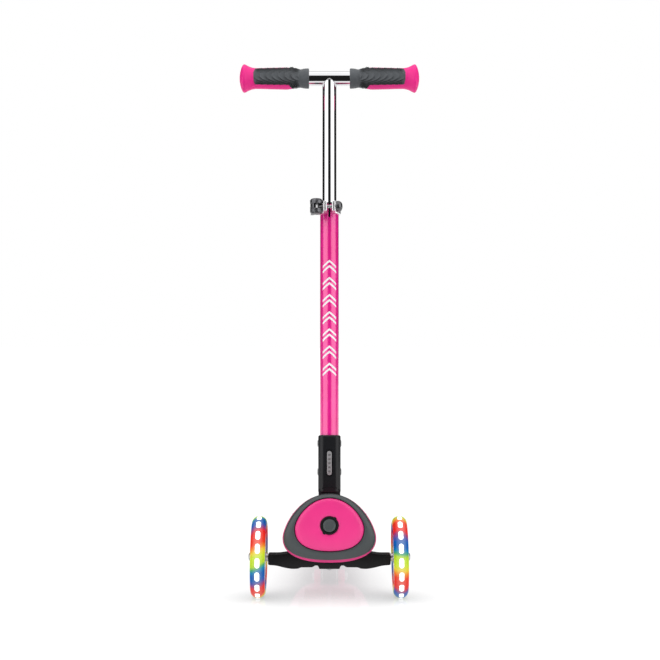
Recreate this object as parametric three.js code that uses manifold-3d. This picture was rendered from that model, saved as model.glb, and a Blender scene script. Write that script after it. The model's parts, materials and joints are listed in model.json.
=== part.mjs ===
// A child's three-wheeled lean-to-steer kick scooter, in millimetres, +Z up.
// X is sideways, the front faces -Y, and the origin is on the ground under the middle of the whole.
// Until the last lines, y = 0 is the plane of the front axle.
import * as THREE from 'three';
import { mergeVertices } from 'three/addons/utils/BufferGeometryUtils.js';
import Module from 'manifold-3d';

// ---- Driving dimensions ----
const GAP = 0.3; // clearance between pieces that touch
const FINE = 24; // sides of a large round
const COARSE = 12; // sides of a small round

const FRONT_WHEEL = { radius: 60.5, width: 22, track: 105, rim: 43, camber: THREE.MathUtils.degToRad(1) };
const REAR_WHEEL = { radius: 40, width: 24, rim: 27, y: 430 };
const BEARING = { outer: 11, inner: 4, length: 7 };
const AXLE_RADIUS = 4;

const DECK = { top: 68, bottom: 46, front: 26, slotHalf: 15.5, slotFront: 376, forkHalf: 27, pocketRoof: 60 };
const PAD = { seat: 66, top: 70.3, front: 122, back: 368 };

const HOUSING_FRONT = -27.7; // front wall of the housing
const TUNNEL = { front: -22.5, back: 26.5, ceiling: 72, endCeiling: 86, end: 75 };
const BUTTON = { height: 113.2, radius: 9.6, bezel: 13.3, stem: 5 };

const KING = { height: 58, pitch: THREE.MathUtils.degToRad(50), radius: 4 };

const LEAN = THREE.MathUtils.degToRad(7); // backward lean of the T-bar
const FOLD = { y: 30.8, z: 118, pin: 4, tongue: 17 };
const LOWER_TUBE = { outer: 14.3, inner: 12.6, bottom: 30, top: 477 };
const UPPER_TUBE = { outer: 10.8, inner: 9.2, bottom: 384 };
const COLLAR = { halfWidth: 17, halfDepth: 19, bottom: 34, top: 121 };
const CLAMP = { bottom: 462.3, top: 478.3, radius: 17.6, boltY: -25.5, earHalf: 9.4, slitHalf: 3.9 };
const LEVER = { x: -20, radius: 9.6, half: 11.7 };
const CROSSBAR = { height: 679.6, outer: 11.3, inner: 9.3, half: 135 };
const GRIP = { inner: 32, outer: 140.6, body: 16.8, flare: 22.3, sleeveEnd: 60, sleeve: 12.4 };

const FENDER = { pinY: 385, pinZ: 62, pin: 3, inner: 46.5, outer: 50, half: 22 };

// ---- Solids ----
const wasm = await Module();
wasm.setup();

const X_AXIS = new THREE.Vector3(1, 0, 0);
const Y_AXIS = new THREE.Vector3(0, 1, 0);
const Z_AXIS = new THREE.Vector3(0, 0, 1);
const KING_AXIS = new THREE.Vector3(0, -Math.cos(KING.pitch), Math.sin(KING.pitch));

function solid(geometry) {
  const bare = geometry.clone();
  bare.deleteAttribute('normal');
  bare.deleteAttribute('uv');
  const merged = mergeVertices(bare, 1e-4);
  return new wasm.Manifold(new wasm.Mesh({
    numProp: 3,
    vertProperties: new Float32Array(merged.attributes.position.array),
    triVerts: new Uint32Array(merged.index.array),
  }));
}

function surface(body) {
  const mesh = body.getMesh();
  const geometry = new THREE.BufferGeometry();
  geometry.setAttribute('position', new THREE.BufferAttribute(mesh.vertProperties, 3));
  geometry.setIndex(new THREE.BufferAttribute(mesh.triVerts, 1));
  geometry.computeVertexNormals();
  return geometry;
}

function join(...geometries) {
  return surface(geometries.map(solid).reduce((whole, body) => whole.add(body)));
}

function cut(base, ...tools) {
  return surface(tools.map(solid).reduce((rest, tool) => rest.subtract(tool), solid(base)));
}

function meet(...geometries) {
  return surface(geometries.map(solid).reduce((common, body) => common.intersect(body)));
}

// ---- Shapes ----
function box(x0, x1, y0, y1, z0, z1) {
  const geometry = new THREE.BoxGeometry(x1 - x0, y1 - y0, z1 - z0);
  return geometry.translate((x0 + x1) / 2, (y0 + y1) / 2, (z0 + z1) / 2);
}

// Turns a profile of [radius, distance] points about a line from `start` along `direction`.
function turned(profile, start, direction, sides = COARSE) {
  const geometry = new THREE.LatheGeometry(profile.map(([r, s]) => new THREE.Vector2(r, s)), sides);
  geometry.applyQuaternion(new THREE.Quaternion().setFromUnitVectors(Y_AXIS, direction));
  return geometry.translate(start.x, start.y, start.z);
}

function rod(radius, from, to, start, direction, sides = COARSE) {
  return turned([[0, from], [radius, from], [radius, to], [0, to]], start, direction, sides);
}

function pipe(outer, inner, from, to, start, direction, sides = COARSE) {
  const profile = [[inner, from], [outer, from], [outer, to], [inner, to], [inner, from]];
  return turned(profile, start, direction, sides);
}

function outline(points) {
  return new THREE.Shape(points.map(([a, b]) => new THREE.Vector2(a, b)));
}

// A left-right symmetric outline, from the points of its right half, bottom to top.
function mirrored(half) {
  const other = half.filter(([a]) => a > 0).reverse().map(([a, b]) => [-a, b]);
  return outline([...half, ...other]);
}

function extruded(shape, depth, round, curveSegments = 5) {
  const bevelled = round > 0;
  return new THREE.ExtrudeGeometry(shape, {
    depth: bevelled ? depth - 2 * round : depth,
    bevelEnabled: bevelled,
    bevelThickness: round,
    bevelSize: round,
    bevelOffset: -round,
    bevelSegments: 2,
    curveSegments,
  }).translate(0, 0, bevelled ? round : 0);
}

function alongX(shape, x0, x1, round = 0) {
  const geometry = extruded(shape, x1 - x0, round);
  geometry.applyMatrix4(new THREE.Matrix4().makeBasis(Y_AXIS, Z_AXIS, X_AXIS));
  return geometry.translate(x0, 0, 0);
}

function alongY(shape, y0, y1, round = 0, curveSegments = 5) {
  return extruded(shape, y1 - y0, round, curveSegments).rotateX(Math.PI / 2).translate(0, y1, 0);
}

function alongZ(shape, z0, z1, round = 0) {
  return extruded(shape, z1 - z0, round).translate(0, 0, z0);
}

// The rounded triangle that the front of the housing repeats: x across, z up.
function roundedTriangle({ bottom, wide, top, half, bottomPull, lower, upper, topPull }, grow = 0) {
  const side = half + grow;
  const low = bottom - grow;
  const high = top + grow;
  const shape = new THREE.Shape();
  shape.moveTo(0, low);
  shape.bezierCurveTo(bottomPull, low, side, lower, side, wide);
  shape.bezierCurveTo(side, upper, topPull, high, 0, high);
  shape.bezierCurveTo(-topPull, high, -side, upper, -side, wide);
  shape.bezierCurveTo(-side, lower, -bottomPull, low, 0, low);
  return shape;
}

function roundedBox(halfA, halfB, radius) {
  const shape = new THREE.Shape();
  const a = halfA - radius;
  const b = halfB - radius;
  shape.absarc(a, b, radius, 0, Math.PI / 2);
  shape.absarc(-a, b, radius, Math.PI / 2, Math.PI);
  shape.absarc(-a, -b, radius, Math.PI, 1.5 * Math.PI);
  shape.absarc(a, -b, radius, 1.5 * Math.PI, 2 * Math.PI);
  return shape;
}

const HOUSING_OUTLINE = {
  bottom: 56, wide: 92.4, top: 158, half: 69.2, bottomPull: 40, lower: 66, upper: 109.2, topPull: 45,
};
const RING_OUTLINE = {
  bottom: 61, wide: 93, top: 157.8, half: 67.6, bottomPull: 39, lower: 69, upper: 109.2, topPull: 44.5,
};
const FACE_OUTLINE = {
  bottom: 74.9, wide: 107.7, top: 152.6, half: 50.6, bottomPull: 30, lower: 84, upper: 122, topPull: 30,
};

// ---- Materials ----
function plastic(color, roughness = 0.45) {
  return new THREE.MeshStandardMaterial({ color, roughness, metalness: 0 });
}

function metal(color, roughness) {
  return new THREE.MeshStandardMaterial({ color, roughness, metalness: 1 });
}

const MATERIALS = {
  pink: () => plastic(0xf04191, 0.35),
  darkGrey: () => plastic(0x4b5052, 0.5),
  black: () => plastic(0x1c1c1e, 0.5),
  rubber: () => plastic(0x5a5e62, 0.8),
  core: () => plastic(0xf2f2f2, 0.4),
  tyre: () => plastic(0x9fdc7c, 0.3),
  rearTyre: () => plastic(0x38393b, 0.6),
  chrome: () => metal(0xd8d8da, 0.1),
  steel: () => metal(0x9a9a9e, 0.35),
  paint: () => new THREE.MeshStandardMaterial({ color: 0xf04191, roughness: 0.25, metalness: 0.5 }),
};

function add(group, name, geometry, material) {
  const mesh = new THREE.Mesh(geometry, MATERIALS[material]());
  mesh.name = name;
  group.add(mesh);
}

const scooter = new THREE.Group();
const ORIGIN = new THREE.Vector3();

// ---- Deck ----
function deckOutline(inset) {
  const fork = DECK.forkHalf - inset;
  const end = REAR_WHEEL.y + 12 - inset;
  const shape = new THREE.Shape();
  shape.moveTo(48 - inset, DECK.front + inset);
  shape.quadraticCurveTo(62 - inset, DECK.front + 10, 65 - inset, 110);
  shape.bezierCurveTo(65 - inset, 240, 56 - inset, 320, 46 - inset, 362 - inset);
  shape.quadraticCurveTo(40 - inset, 384 - inset, fork, 396 - inset);
  shape.lineTo(fork, end);
  shape.lineTo(-fork, end);
  shape.lineTo(-fork, 396 - inset);
  shape.quadraticCurveTo(inset - 40, 384 - inset, inset - 46, 362 - inset);
  shape.bezierCurveTo(inset - 56, 320, inset - 65, 240, inset - 65, 110);
  shape.quadraticCurveTo(inset - 62, DECK.front + 10, inset - 48, DECK.front + inset);
  return shape;
}

function padOutline(grow) {
  const shape = new THREE.Shape();
  const front = PAD.front - grow;
  const back = PAD.back + grow;
  shape.moveTo(0, front);
  shape.lineTo(40 + grow, front);
  shape.quadraticCurveTo(55 + grow, front, 55.5 + grow, front + 18);
  shape.bezierCurveTo(55 + grow, 245, 48 + grow, 315, 39 + grow, back - 16);
  shape.quadraticCurveTo(35 + grow, back, 22 + grow, back);
  shape.lineTo(-22 - grow, back);
  shape.quadraticCurveTo(-35 - grow, back, -39 - grow, back - 16);
  shape.bezierCurveTo(-48 - grow, 315, -55 - grow, 245, -55.5 - grow, front + 18);
  shape.quadraticCurveTo(-55 - grow, front, -40 - grow, front);
  shape.lineTo(0, front);
  return shape;
}

const HOUSING_SCREWS = [[-38, 48], [38, 48], [-42, 92], [42, 92]];

// The board is an open-bottomed shell with cross ribs, and splits into a fork for the rear wheel.
function deckBoard() {
  const board = alongZ(deckOutline(0), DECK.bottom, DECK.top, 3);
  const pockets = [[122, 228], [234, 340]].flatMap(([from, to]) =>
    [-1, 1].map((side) => {
      const outer = to < 300 ? 50 : 42;
      return box(...(side < 0 ? [-outer, -3] : [3, outer]), from, to, DECK.bottom - 1, DECK.pocketRoof);
    }));
  const recess = alongZ(padOutline(GAP), PAD.seat, DECK.top + 1);
  const slot = box(-DECK.slotHalf, DECK.slotHalf, DECK.slotFront, 500, 0, 100);
  // The fork slopes down to the axle, and its ends are round.
  const forkTop = alongX(outline([[398, 90], [398, DECK.top + 0.01], [404, 62], [442, 54], [470, 54], [470, 90]]),
    -60, 60);
  const axleBore = rod(AXLE_RADIUS + GAP, -60, 60, new THREE.Vector3(0, REAR_WHEEL.y, REAR_WHEEL.radius), X_AXIS);
  const axleLugs = [-1, 1].map((side) => {
    const inner = side * DECK.slotHalf;
    const outer = side * DECK.forkHalf;
    return rod(13, Math.min(inner, outer), Math.max(inner, outer),
      new THREE.Vector3(0, REAR_WHEEL.y, REAR_WHEEL.radius), X_AXIS, 16);
  });
  const pinBore = rod(FENDER.pin + GAP, -22.6, 22.6, new THREE.Vector3(0, FENDER.pinY, FENDER.pinZ), X_AXIS);
  const screwBores = HOUSING_SCREWS.flatMap(([x, y]) => [
    rod(2.8, DECK.bottom - 1, DECK.top + 1, new THREE.Vector3(x, y, 0), Z_AXIS, 12),
    rod(5.3, DECK.bottom - 1, DECK.bottom + 4, new THREE.Vector3(x, y, 0), Z_AXIS, 12),
  ]);
  const shaped = cut(board, recess, slot, forkTop, ...pockets, ...screwBores);
  return cut(join(shaped, ...axleLugs), axleBore, pinBore);
}

add(scooter, 'deck_board', deckBoard(), 'pink');
add(scooter, 'deck_pad', alongZ(padOutline(0), PAD.seat + GAP, PAD.top), 'darkGrey');

// ---- Front housing ----
// The front outline shrinks towards the back, and the side profile cuts it down to the deck.
function housingShell() {
  const back = 130;
  const shrink = 0.3;
  const pinch = 60; // height that the outline shrinks towards
  const front = alongY(roundedTriangle(HOUSING_OUTLINE), HOUSING_FRONT, back, 0, 9);
  const points = front.attributes.position;
  for (let index = 0; index < points.count; index += 1) {
    const away = (points.getY(index) - HOUSING_FRONT) / (back - HOUSING_FRONT);
    const scale = 1 - shrink * away;
    points.setX(index, points.getX(index) * scale);
    points.setZ(index, pinch + (points.getZ(index) - pinch) * scale);
  }
  const profile = new THREE.Shape();
  profile.moveTo(HOUSING_FRONT - 1, 50);
  profile.lineTo(TUNNEL.back - 1, 50);
  profile.lineTo(TUNNEL.back - 1, DECK.top + GAP);
  profile.lineTo(118, DECK.top + GAP);
  profile.bezierCurveTo(114, 82, 92, 88, 78, 106);
  profile.bezierCurveTo(66, 126, 52, 150, 24, 160);
  profile.lineTo(HOUSING_FRONT - 1, 160);
  return meet(front, alongX(profile, -80, 80));
}

function housing() {
  const slotFloor = FOLD.z - FOLD.tongue - 3.5;
  const barSlot = box(-COLLAR.halfWidth - 0.8, COLLAR.halfWidth + 0.8, 12.5, 140, slotFloor, 180);
  const tunnel = alongY(mirrored([
    [10, 30], [TUNNEL.end, 30], [TUNNEL.end, TUNNEL.endCeiling], [10, TUNNEL.ceiling],
  ]), TUNNEL.front, TUNNEL.back);
  const king = new THREE.Vector3(0, 0, KING.height);
  const bores = [
    rod(BUTTON.stem + 0.4, HOUSING_FRONT - 1, 13, new THREE.Vector3(0, 0, BUTTON.height), Y_AXIS),
    rod(FOLD.pin + GAP, -80, 80, new THREE.Vector3(0, FOLD.y, FOLD.z), X_AXIS),
    rod(10.5, 8, 27, king, KING_AXIS),
    rod(KING.radius + GAP, 20, 33.5, king, KING_AXIS),
    ...HOUSING_SCREWS.map(([x, y]) =>
      rod(2.8, DECK.top - 1, DECK.top + 9, new THREE.Vector3(x, y, 0), Z_AXIS, 12)),
  ];
  return cut(housingShell(), barSlot, tunnel, ...bores);
}

add(scooter, 'front_housing', housing(), 'pink');

HOUSING_SCREWS.forEach(([x, y], index) => {
  const screw = turned([[0, DECK.bottom + 0.8], [5, DECK.bottom + 0.8], [5, DECK.bottom + 3.6],
    [2.5, DECK.bottom + 3.6], [2.5, DECK.top + 8.5], [0, DECK.top + 8.5]],
  new THREE.Vector3(x, y, 0), Z_AXIS, 12);
  add(scooter, `housing_screw_${index + 1}`, screw, 'steel');
});

function frontRing() {
  const plate = alongY(roundedTriangle(RING_OUTLINE), -41, HOUSING_FRONT - GAP, 5, 9);
  const backing = alongY(roundedTriangle(RING_OUTLINE), -35, HOUSING_FRONT - GAP, 0, 9);
  const opening = alongY(roundedTriangle(FACE_OUTLINE, 0.8), -60, 0, 0, 8);
  return cut(join(plate, backing), opening);
}

function facePanel() {
  const dome = alongY(roundedTriangle(FACE_OUTLINE), -45.5, HOUSING_FRONT - GAP, 4, 8);
  const hole = rod(BUTTON.bezel + GAP, -60, 0, new THREE.Vector3(0, 0, BUTTON.height), Y_AXIS, FINE);
  return cut(dome, hole);
}

add(scooter, 'front_ring', frontRing(), 'darkGrey');
add(scooter, 'face_panel', facePanel(), 'pink');

const buttonCentre = new THREE.Vector3(0, 0, BUTTON.height);
add(scooter, 'button_bezel',
  pipe(BUTTON.bezel, BUTTON.radius + 0.4, -47, HOUSING_FRONT - GAP, buttonCentre, Y_AXIS, FINE), 'black');
add(scooter, 'fold_button', turned([[0, -48], [8.6, -48], [BUTTON.radius, -47], [BUTTON.radius, -38],
  [BUTTON.stem, -38], [BUTTON.stem, 5], [0, 5]], buttonCentre, Y_AXIS, FINE), 'darkGrey');
add(scooter, 'button_spring',
  pipe(8.5, BUTTON.stem + 0.5, -33.5, HOUSING_FRONT - GAP, buttonCentre, Y_AXIS), 'steel');
add(scooter, 'steering_lock_button', alongY(mirrored([[15.5, 46], [15.5, 58.5]]), -22.2, -16.5, 1), 'black');
add(scooter, 'fold_pin', rod(FOLD.pin, -56, 56, new THREE.Vector3(0, FOLD.y, FOLD.z), X_AXIS), 'steel');

// ---- Lean-to-steer pivot ----
const kingCentre = new THREE.Vector3(0, 0, KING.height);
add(scooter, 'kingpin', rod(KING.radius, -19, 33, kingCentre, KING_AXIS), 'steel');
add(scooter, 'kingpin_nut', cut(
  rod(7.5, -18, -11.4, kingCentre, KING_AXIS, 6),
  rod(KING.radius + GAP, -20, 0, kingCentre, KING_AXIS)), 'steel');
add(scooter, 'steering_spring', pipe(9.5, KING.radius + 0.6, 13.8, 26.6, kingCentre, KING_AXIS), 'steel');
for (const [name, side] of [['left', -1], ['right', 1]]) {
  const x = side * 40;
  add(scooter, `${name}_bumper`, box(x - 5, x + 5, -8, 8, 74.4, 76.8), 'rubber');
}

// ---- Front truck ----
function axleBridge() {
  const arms = alongY(mirrored([
    [16.5, 46], [17.5, 49], [21.5, 49], [24.4, 46.4], [43, 46.4], [45, 44.6], [52, 44], [58, 44.2], [70, 47.4],
    [91, 50], [91, 66], [71, 66], [66, 67.2], [60, 68.5], [52, 67],
  ]), -11, 11, 1.5);
  const tools = [
    rod(KING.radius + 0.4, -60, 60, kingCentre, KING_AXIS),
    rod(9.4, -50, -11, kingCentre, KING_AXIS, 14),
    rod(11.5, 13.4, 60, kingCentre, KING_AXIS, 14),
  ];
  for (const side of [-1, 1]) {
    const start = new THREE.Vector3(side * FRONT_WHEEL.track, 0, FRONT_WHEEL.radius);
    tools.push(rod(AXLE_RADIUS + GAP, 10, 22, start, axleInward(side)));
  }
  return cut(arms, ...tools);
}

// The direction from a front wheel's centre towards the middle of the scooter, which camber tips.
function axleInward(side) {
  return new THREE.Vector3(-side * Math.cos(FRONT_WHEEL.camber), 0, -Math.sin(FRONT_WHEEL.camber));
}

add(scooter, 'axle_bridge', axleBridge(), 'black');

// ---- Wheels ----
// Profiles are [radius, distance along the axle from the wheel's middle].
const CROWN = 0.92; // depth of a tyre's crown, of half its width

function tyreProfile({ radius, width, rim }) {
  const half = width / 2;
  const crown = [];
  for (let step = 0; step <= 6; step += 1) {
    const turn = -Math.PI / 2 + (step * Math.PI) / 6;
    crown.push([radius - half * CROWN * (1 - Math.cos(turn)), half * Math.sin(turn)]);
  }
  const seat = rim + GAP;
  return [[seat, -half + 1.5], ...crown, [seat, half - 1.5], [seat, -half + 1.5]];
}

function hub({ rim }, halfBoss, halfRim, sides) {
  const seat = BEARING.outer + GAP;
  const shoulder = halfBoss - BEARING.length - 0.2;
  const profile = [
    [seat - 1.2, -shoulder], [seat, -shoulder], [seat, -halfBoss], [seat + 4, -halfBoss],
    [seat + 5, -4], [rim - 6, -4], [rim - 4.5, -halfRim], [rim, -halfRim],
    [rim, halfRim], [rim - 4.5, halfRim], [rim - 6, 4], [seat + 5, 4],
    [seat + 4, halfBoss], [seat, halfBoss], [seat, shoulder], [seat - 1.2, shoulder], [seat - 1.2, -shoulder],
  ];
  return turned(profile, ORIGIN, X_AXIS, sides);
}

function spokeWindows(radius, size) {
  return [0, 1, 2, 3, 4].map((index) => {
    const turn = Math.PI / 2 + (index * 2 * Math.PI) / 5;
    const centre = new THREE.Vector3(0, radius * Math.cos(turn), radius * Math.sin(turn));
    return rod(size, -20, 20, centre, X_AXIS, 10);
  });
}

function bearing(side, halfBoss) {
  const near = halfBoss - BEARING.length;
  const [from, to] = side < 0 ? [-halfBoss, -near] : [near, halfBoss];
  return pipe(BEARING.outer, BEARING.inner + GAP, from, to, ORIGIN, X_AXIS, 16);
}

const FRONT_BOSS = 10;
for (const [name, side] of [['left', -1], ['right', 1]]) {
  const wheel = new THREE.Group();
  wheel.position.set(side * FRONT_WHEEL.track, 0, FRONT_WHEEL.radius);
  wheel.rotation.y = -side * FRONT_WHEEL.camber;
  add(wheel, `${name}_tyre`, turned(tyreProfile(FRONT_WHEEL), ORIGIN, X_AXIS, 32), 'tyre');
  add(wheel, `${name}_hub`, cut(hub(FRONT_WHEEL, FRONT_BOSS, 9, FINE), ...spokeWindows(26.5, 7)), 'core');
  add(wheel, `${name}_inner_bearing`, bearing(-side, FRONT_BOSS), 'steel');
  add(wheel, `${name}_outer_bearing`, bearing(side, FRONT_BOSS), 'steel');
  const outward = X_AXIS.clone().multiplyScalar(side);
  add(wheel, `${name}_light_magnet`,
    pipe(8.6, BEARING.inner + GAP, -2.4, 2.4, ORIGIN, X_AXIS), 'steel');
  add(wheel, `${name}_axle_bolt`, turned([[0, -21], [AXLE_RADIUS, -21], [AXLE_RADIUS, -13.6], [6.4, -13.6],
    [6.4, -FRONT_BOSS - GAP], [AXLE_RADIUS, -FRONT_BOSS - GAP], [AXLE_RADIUS, 13], [0, 13]],
  ORIGIN, outward), 'steel');
  add(wheel, `${name}_axle_nut`, turned([[AXLE_RADIUS + GAP, FRONT_BOSS + GAP], [6.3, FRONT_BOSS + GAP],
    [6.3, 12.6], [5.6, 14.2], [3.9, 15.2], [0, 15.6], [0, 13.4], [AXLE_RADIUS + GAP, 13.4],
    [AXLE_RADIUS + GAP, FRONT_BOSS + GAP]], ORIGIN, outward, 14), 'chrome');
  scooter.add(wheel);
}

const REAR_BOSS = 13;
const rear = new THREE.Group();
rear.position.set(0, REAR_WHEEL.y, REAR_WHEEL.radius);
add(rear, 'rear_tyre', turned(tyreProfile(REAR_WHEEL), ORIGIN, X_AXIS, FINE), 'rearTyre');
add(rear, 'rear_hub', hub(REAR_WHEEL, REAR_BOSS, 9, FINE), 'core');
add(rear, 'rear_left_bearing', bearing(-1, REAR_BOSS), 'steel');
add(rear, 'rear_right_bearing', bearing(1, REAR_BOSS), 'steel');
add(rear, 'rear_axle_bolt', turned([[0, -31], [6.5, -31], [6.5, -DECK.forkHalf - GAP],
  [AXLE_RADIUS, -DECK.forkHalf - GAP], [AXLE_RADIUS, 31], [0, 31]], ORIGIN, X_AXIS), 'steel');
add(rear, 'rear_axle_nut', turned([[AXLE_RADIUS + GAP, DECK.forkHalf + GAP], [6.5, DECK.forkHalf + GAP],
  [6.5, 31], [5, 32.6], [0, 33.2], [0, 31.4], [AXLE_RADIUS + GAP, 31.4],
  [AXLE_RADIUS + GAP, DECK.forkHalf + GAP]], ORIGIN, X_AXIS, 14), 'chrome');
scooter.add(rear);

// ---- Fender brake ----
// An arched cover over the rear wheel, on two lugs that turn about the brake pin.
function brakeFender() {
  const arch = (from, to) => {
    const shape = new THREE.Shape();
    const start = THREE.MathUtils.degToRad(from);
    const end = THREE.MathUtils.degToRad(to);
    shape.absarc(REAR_WHEEL.y, REAR_WHEEL.radius, FENDER.outer, start, end);
    shape.absarc(REAR_WHEEL.y, REAR_WHEEL.radius, FENDER.inner, end, start, true);
    return shape;
  };
  const cover = alongX(arch(22, 132), -FENDER.half, FENDER.half);
  const tail = alongX(arch(120, 152), -14.3, 14.3);
  const pin = new THREE.Vector3(0, FENDER.pinY, FENDER.pinZ);
  const lugs = rod(6, -14.3, 14.3, pin, X_AXIS);
  const bridge = alongX(outline([[385, 57], [390, 62], [391, 70], [385, 68]]), -14.3, 14.3);
  const springSeat = box(-5.5, 5.5, 370, 392.5, 50, 68.4);
  return cut(join(cover, tail, lugs, bridge), springSeat, rod(FENDER.pin + GAP, -20, 20, pin, X_AXIS));
}

const brakePin = new THREE.Vector3(0, FENDER.pinY, FENDER.pinZ);
add(scooter, 'brake_fender', brakeFender(), 'black');
add(scooter, 'brake_pin', rod(FENDER.pin, -22, 22, brakePin, X_AXIS), 'steel');
add(scooter, 'brake_spring', pipe(4.8, FENDER.pin + GAP, -4.8, 4.8, brakePin, X_AXIS), 'steel');

// ---- Folding T-bar ----
// Its own frame: origin on the fold pin, +Z along the bar, -Y to the front.
const bar = new THREE.Group();
bar.position.set(0, FOLD.y, FOLD.z);
bar.rotation.x = -LEAN;
scooter.add(bar);

const RIVETS = [66, 109]; // heights of the two rivets through the collar
const BADGE = { height: 78.6, half: 3.8, long: 18.5 };

function collar() {
  const body = alongZ(roundedBox(COLLAR.halfWidth, COLLAR.halfDepth, 9), COLLAR.bottom, COLLAR.top, 2);
  const tongueSide = new THREE.Shape();
  tongueSide.absarc(0, 0, FOLD.tongue, Math.PI, 2 * Math.PI);
  tongueSide.lineTo(FOLD.tongue, 40);
  tongueSide.lineTo(-FOLD.tongue, 40);
  const tongue = alongX(tongueSide, -16.4, 16.4);
  const recess = alongY(capsule(BADGE.half + 1.5, BADGE.long + 2.3), -30, -17.2);
  return cut(join(body, tongue),
    rod(LOWER_TUBE.outer + GAP, LOWER_TUBE.bottom - GAP, 200, ORIGIN, Z_AXIS, FINE),
    rod(FOLD.pin + GAP, -30, 30, ORIGIN, X_AXIS),
    recess,
    ...RIVETS.map((height) => rod(2.8, -30, 30, new THREE.Vector3(0, 0, height), X_AXIS, 12)));
}

// An upright slot shape around the badge's centre.
function capsule(half, long) {
  const shape = new THREE.Shape();
  const reach = long - half;
  shape.absarc(0, BADGE.height + reach, half, 0, Math.PI);
  shape.absarc(0, BADGE.height - reach, half, Math.PI, 2 * Math.PI);
  return shape;
}

add(bar, 'collar', collar(), 'black');
add(bar, 'collar_badge', alongY(capsule(BADGE.half, BADGE.long), -18.8, -17.5), 'darkGrey');
RIVETS.forEach((height, index) => {
  const reach = COLLAR.halfWidth;
  add(bar, `collar_rivet_${index + 1}`, turned([[0, -reach - 1.2], [3.6, -reach - 1.2], [4.4, -reach - GAP],
    [2.5, -reach - GAP], [2.5, reach + GAP], [4.4, reach + GAP], [3.6, reach + 1.2], [0, reach + 1.2]],
  new THREE.Vector3(0, 0, height), X_AXIS, 14), 'black');
});

function lowerTube() {
  const { outer, inner, bottom, top } = LOWER_TUBE;
  const slit = box(-1.5, 1.5, -20, 0, CLAMP.bottom - 9, top + 1);
  return cut(pipe(outer, inner, bottom, top, ORIGIN, Z_AXIS, FINE), slit,
    ...RIVETS.map((height) => rod(2.8, -30, 30, new THREE.Vector3(0, 0, height), X_AXIS, 12)));
}

add(bar, 'lower_tube', lowerTube(), 'paint');
add(bar, 'guide_bush', turned([[UPPER_TUBE.outer + GAP, 436], [LOWER_TUBE.inner - GAP, 436],
  [LOWER_TUBE.inner - GAP, LOWER_TUBE.top + GAP], [14, LOWER_TUBE.top + GAP], [14, LOWER_TUBE.top + 2.4],
  [UPPER_TUBE.outer + GAP, LOWER_TUBE.top + 2.4], [UPPER_TUBE.outer + GAP, 436]],
ORIGIN, Z_AXIS, FINE), 'black');

function clampBand() {
  const band = rod(CLAMP.radius, CLAMP.bottom, CLAMP.top, ORIGIN, Z_AXIS, FINE);
  const ears = box(-CLAMP.earHalf, CLAMP.earHalf, CLAMP.boltY - 7, -10, CLAMP.bottom, CLAMP.top);
  const middle = (CLAMP.bottom + CLAMP.top) / 2;
  return cut(join(band, ears),
    rod(LOWER_TUBE.outer + GAP, CLAMP.bottom - 1, CLAMP.top + 1, ORIGIN, Z_AXIS, FINE),
    box(-CLAMP.slitHalf, CLAMP.slitHalf, -40, 0, CLAMP.bottom - 1, CLAMP.top + 1),
    rod(3.3, -20, 20, new THREE.Vector3(0, CLAMP.boltY, middle), X_AXIS));
}

const clampMiddle = (CLAMP.bottom + CLAMP.top) / 2;
const boltCentre = new THREE.Vector3(0, CLAMP.boltY, clampMiddle);
add(bar, 'clamp_band', clampBand(), 'chrome');
add(bar, 'clamp_bolt', rod(3, -17, 18, boltCentre, X_AXIS), 'steel');
add(bar, 'clamp_nut', turned([[3.3, CLAMP.earHalf + GAP], [8, CLAMP.earHalf + GAP], [8.7, 11],
  [8.4, 15], [6.6, 18.4], [3.6, 19.8], [0, 20.2], [0, 18.4], [3.3, 18.4], [3.3, CLAMP.earHalf + GAP]],
boltCentre, X_AXIS, 16), 'black');

// The lever's barrel turns on an upright pin, with a slot for the bolt; its arm wraps back round the tube.
function clampLever() {
  const pin = new THREE.Vector3(LEVER.x, CLAMP.boltY, clampMiddle);
  const barrel = rod(LEVER.radius, -LEVER.half, LEVER.half, pin, Z_AXIS, 16);
  const arm = new THREE.Shape();
  arm.moveTo(-26, CLAMP.boltY);
  arm.lineTo(-21.5, CLAMP.boltY + 4);
  arm.bezierCurveTo(-21, -2, -20.5, 8, -22, 20);
  arm.quadraticCurveTo(-23, 28, -26, 34);
  arm.lineTo(-29, 33);
  arm.bezierCurveTo(-25.5, 16, -27, 0, -29.6, CLAMP.boltY);
  const blade = alongZ(arm, clampMiddle - 1.5, clampMiddle + 9.6);
  const slot = box(LEVER.x - 3.8, 0, CLAMP.boltY - 20, CLAMP.boltY + 3.8, clampMiddle - 3.5, clampMiddle + 3.5);
  return cut(join(barrel, blade), slot, rod(2.8, -30, 30, pin, Z_AXIS));
}

add(bar, 'lever_pin',
  rod(2.5, -LEVER.half + 1, LEVER.half - 1, new THREE.Vector3(LEVER.x, CLAMP.boltY, clampMiddle), Z_AXIS), 'steel');
add(bar, 'clamp_lever', clampLever(), 'black');

// Upper tube and crossbar are one welded piece.
function handlebar() {
  const middle = new THREE.Vector3(0, 0, CROSSBAR.height);
  const outside = join(
    rod(UPPER_TUBE.outer, UPPER_TUBE.bottom, CROSSBAR.height, ORIGIN, Z_AXIS, FINE),
    rod(CROSSBAR.outer, -CROSSBAR.half, CROSSBAR.half, middle, X_AXIS, 20));
  return cut(outside,
    rod(UPPER_TUBE.inner, UPPER_TUBE.bottom - 1, CROSSBAR.height - 4, ORIGIN, Z_AXIS, FINE),
    rod(CROSSBAR.inner, -CROSSBAR.half - 1, CROSSBAR.half + 1, middle, X_AXIS, 20));
}

add(bar, 'handlebar', handlebar(), 'chrome');

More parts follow.
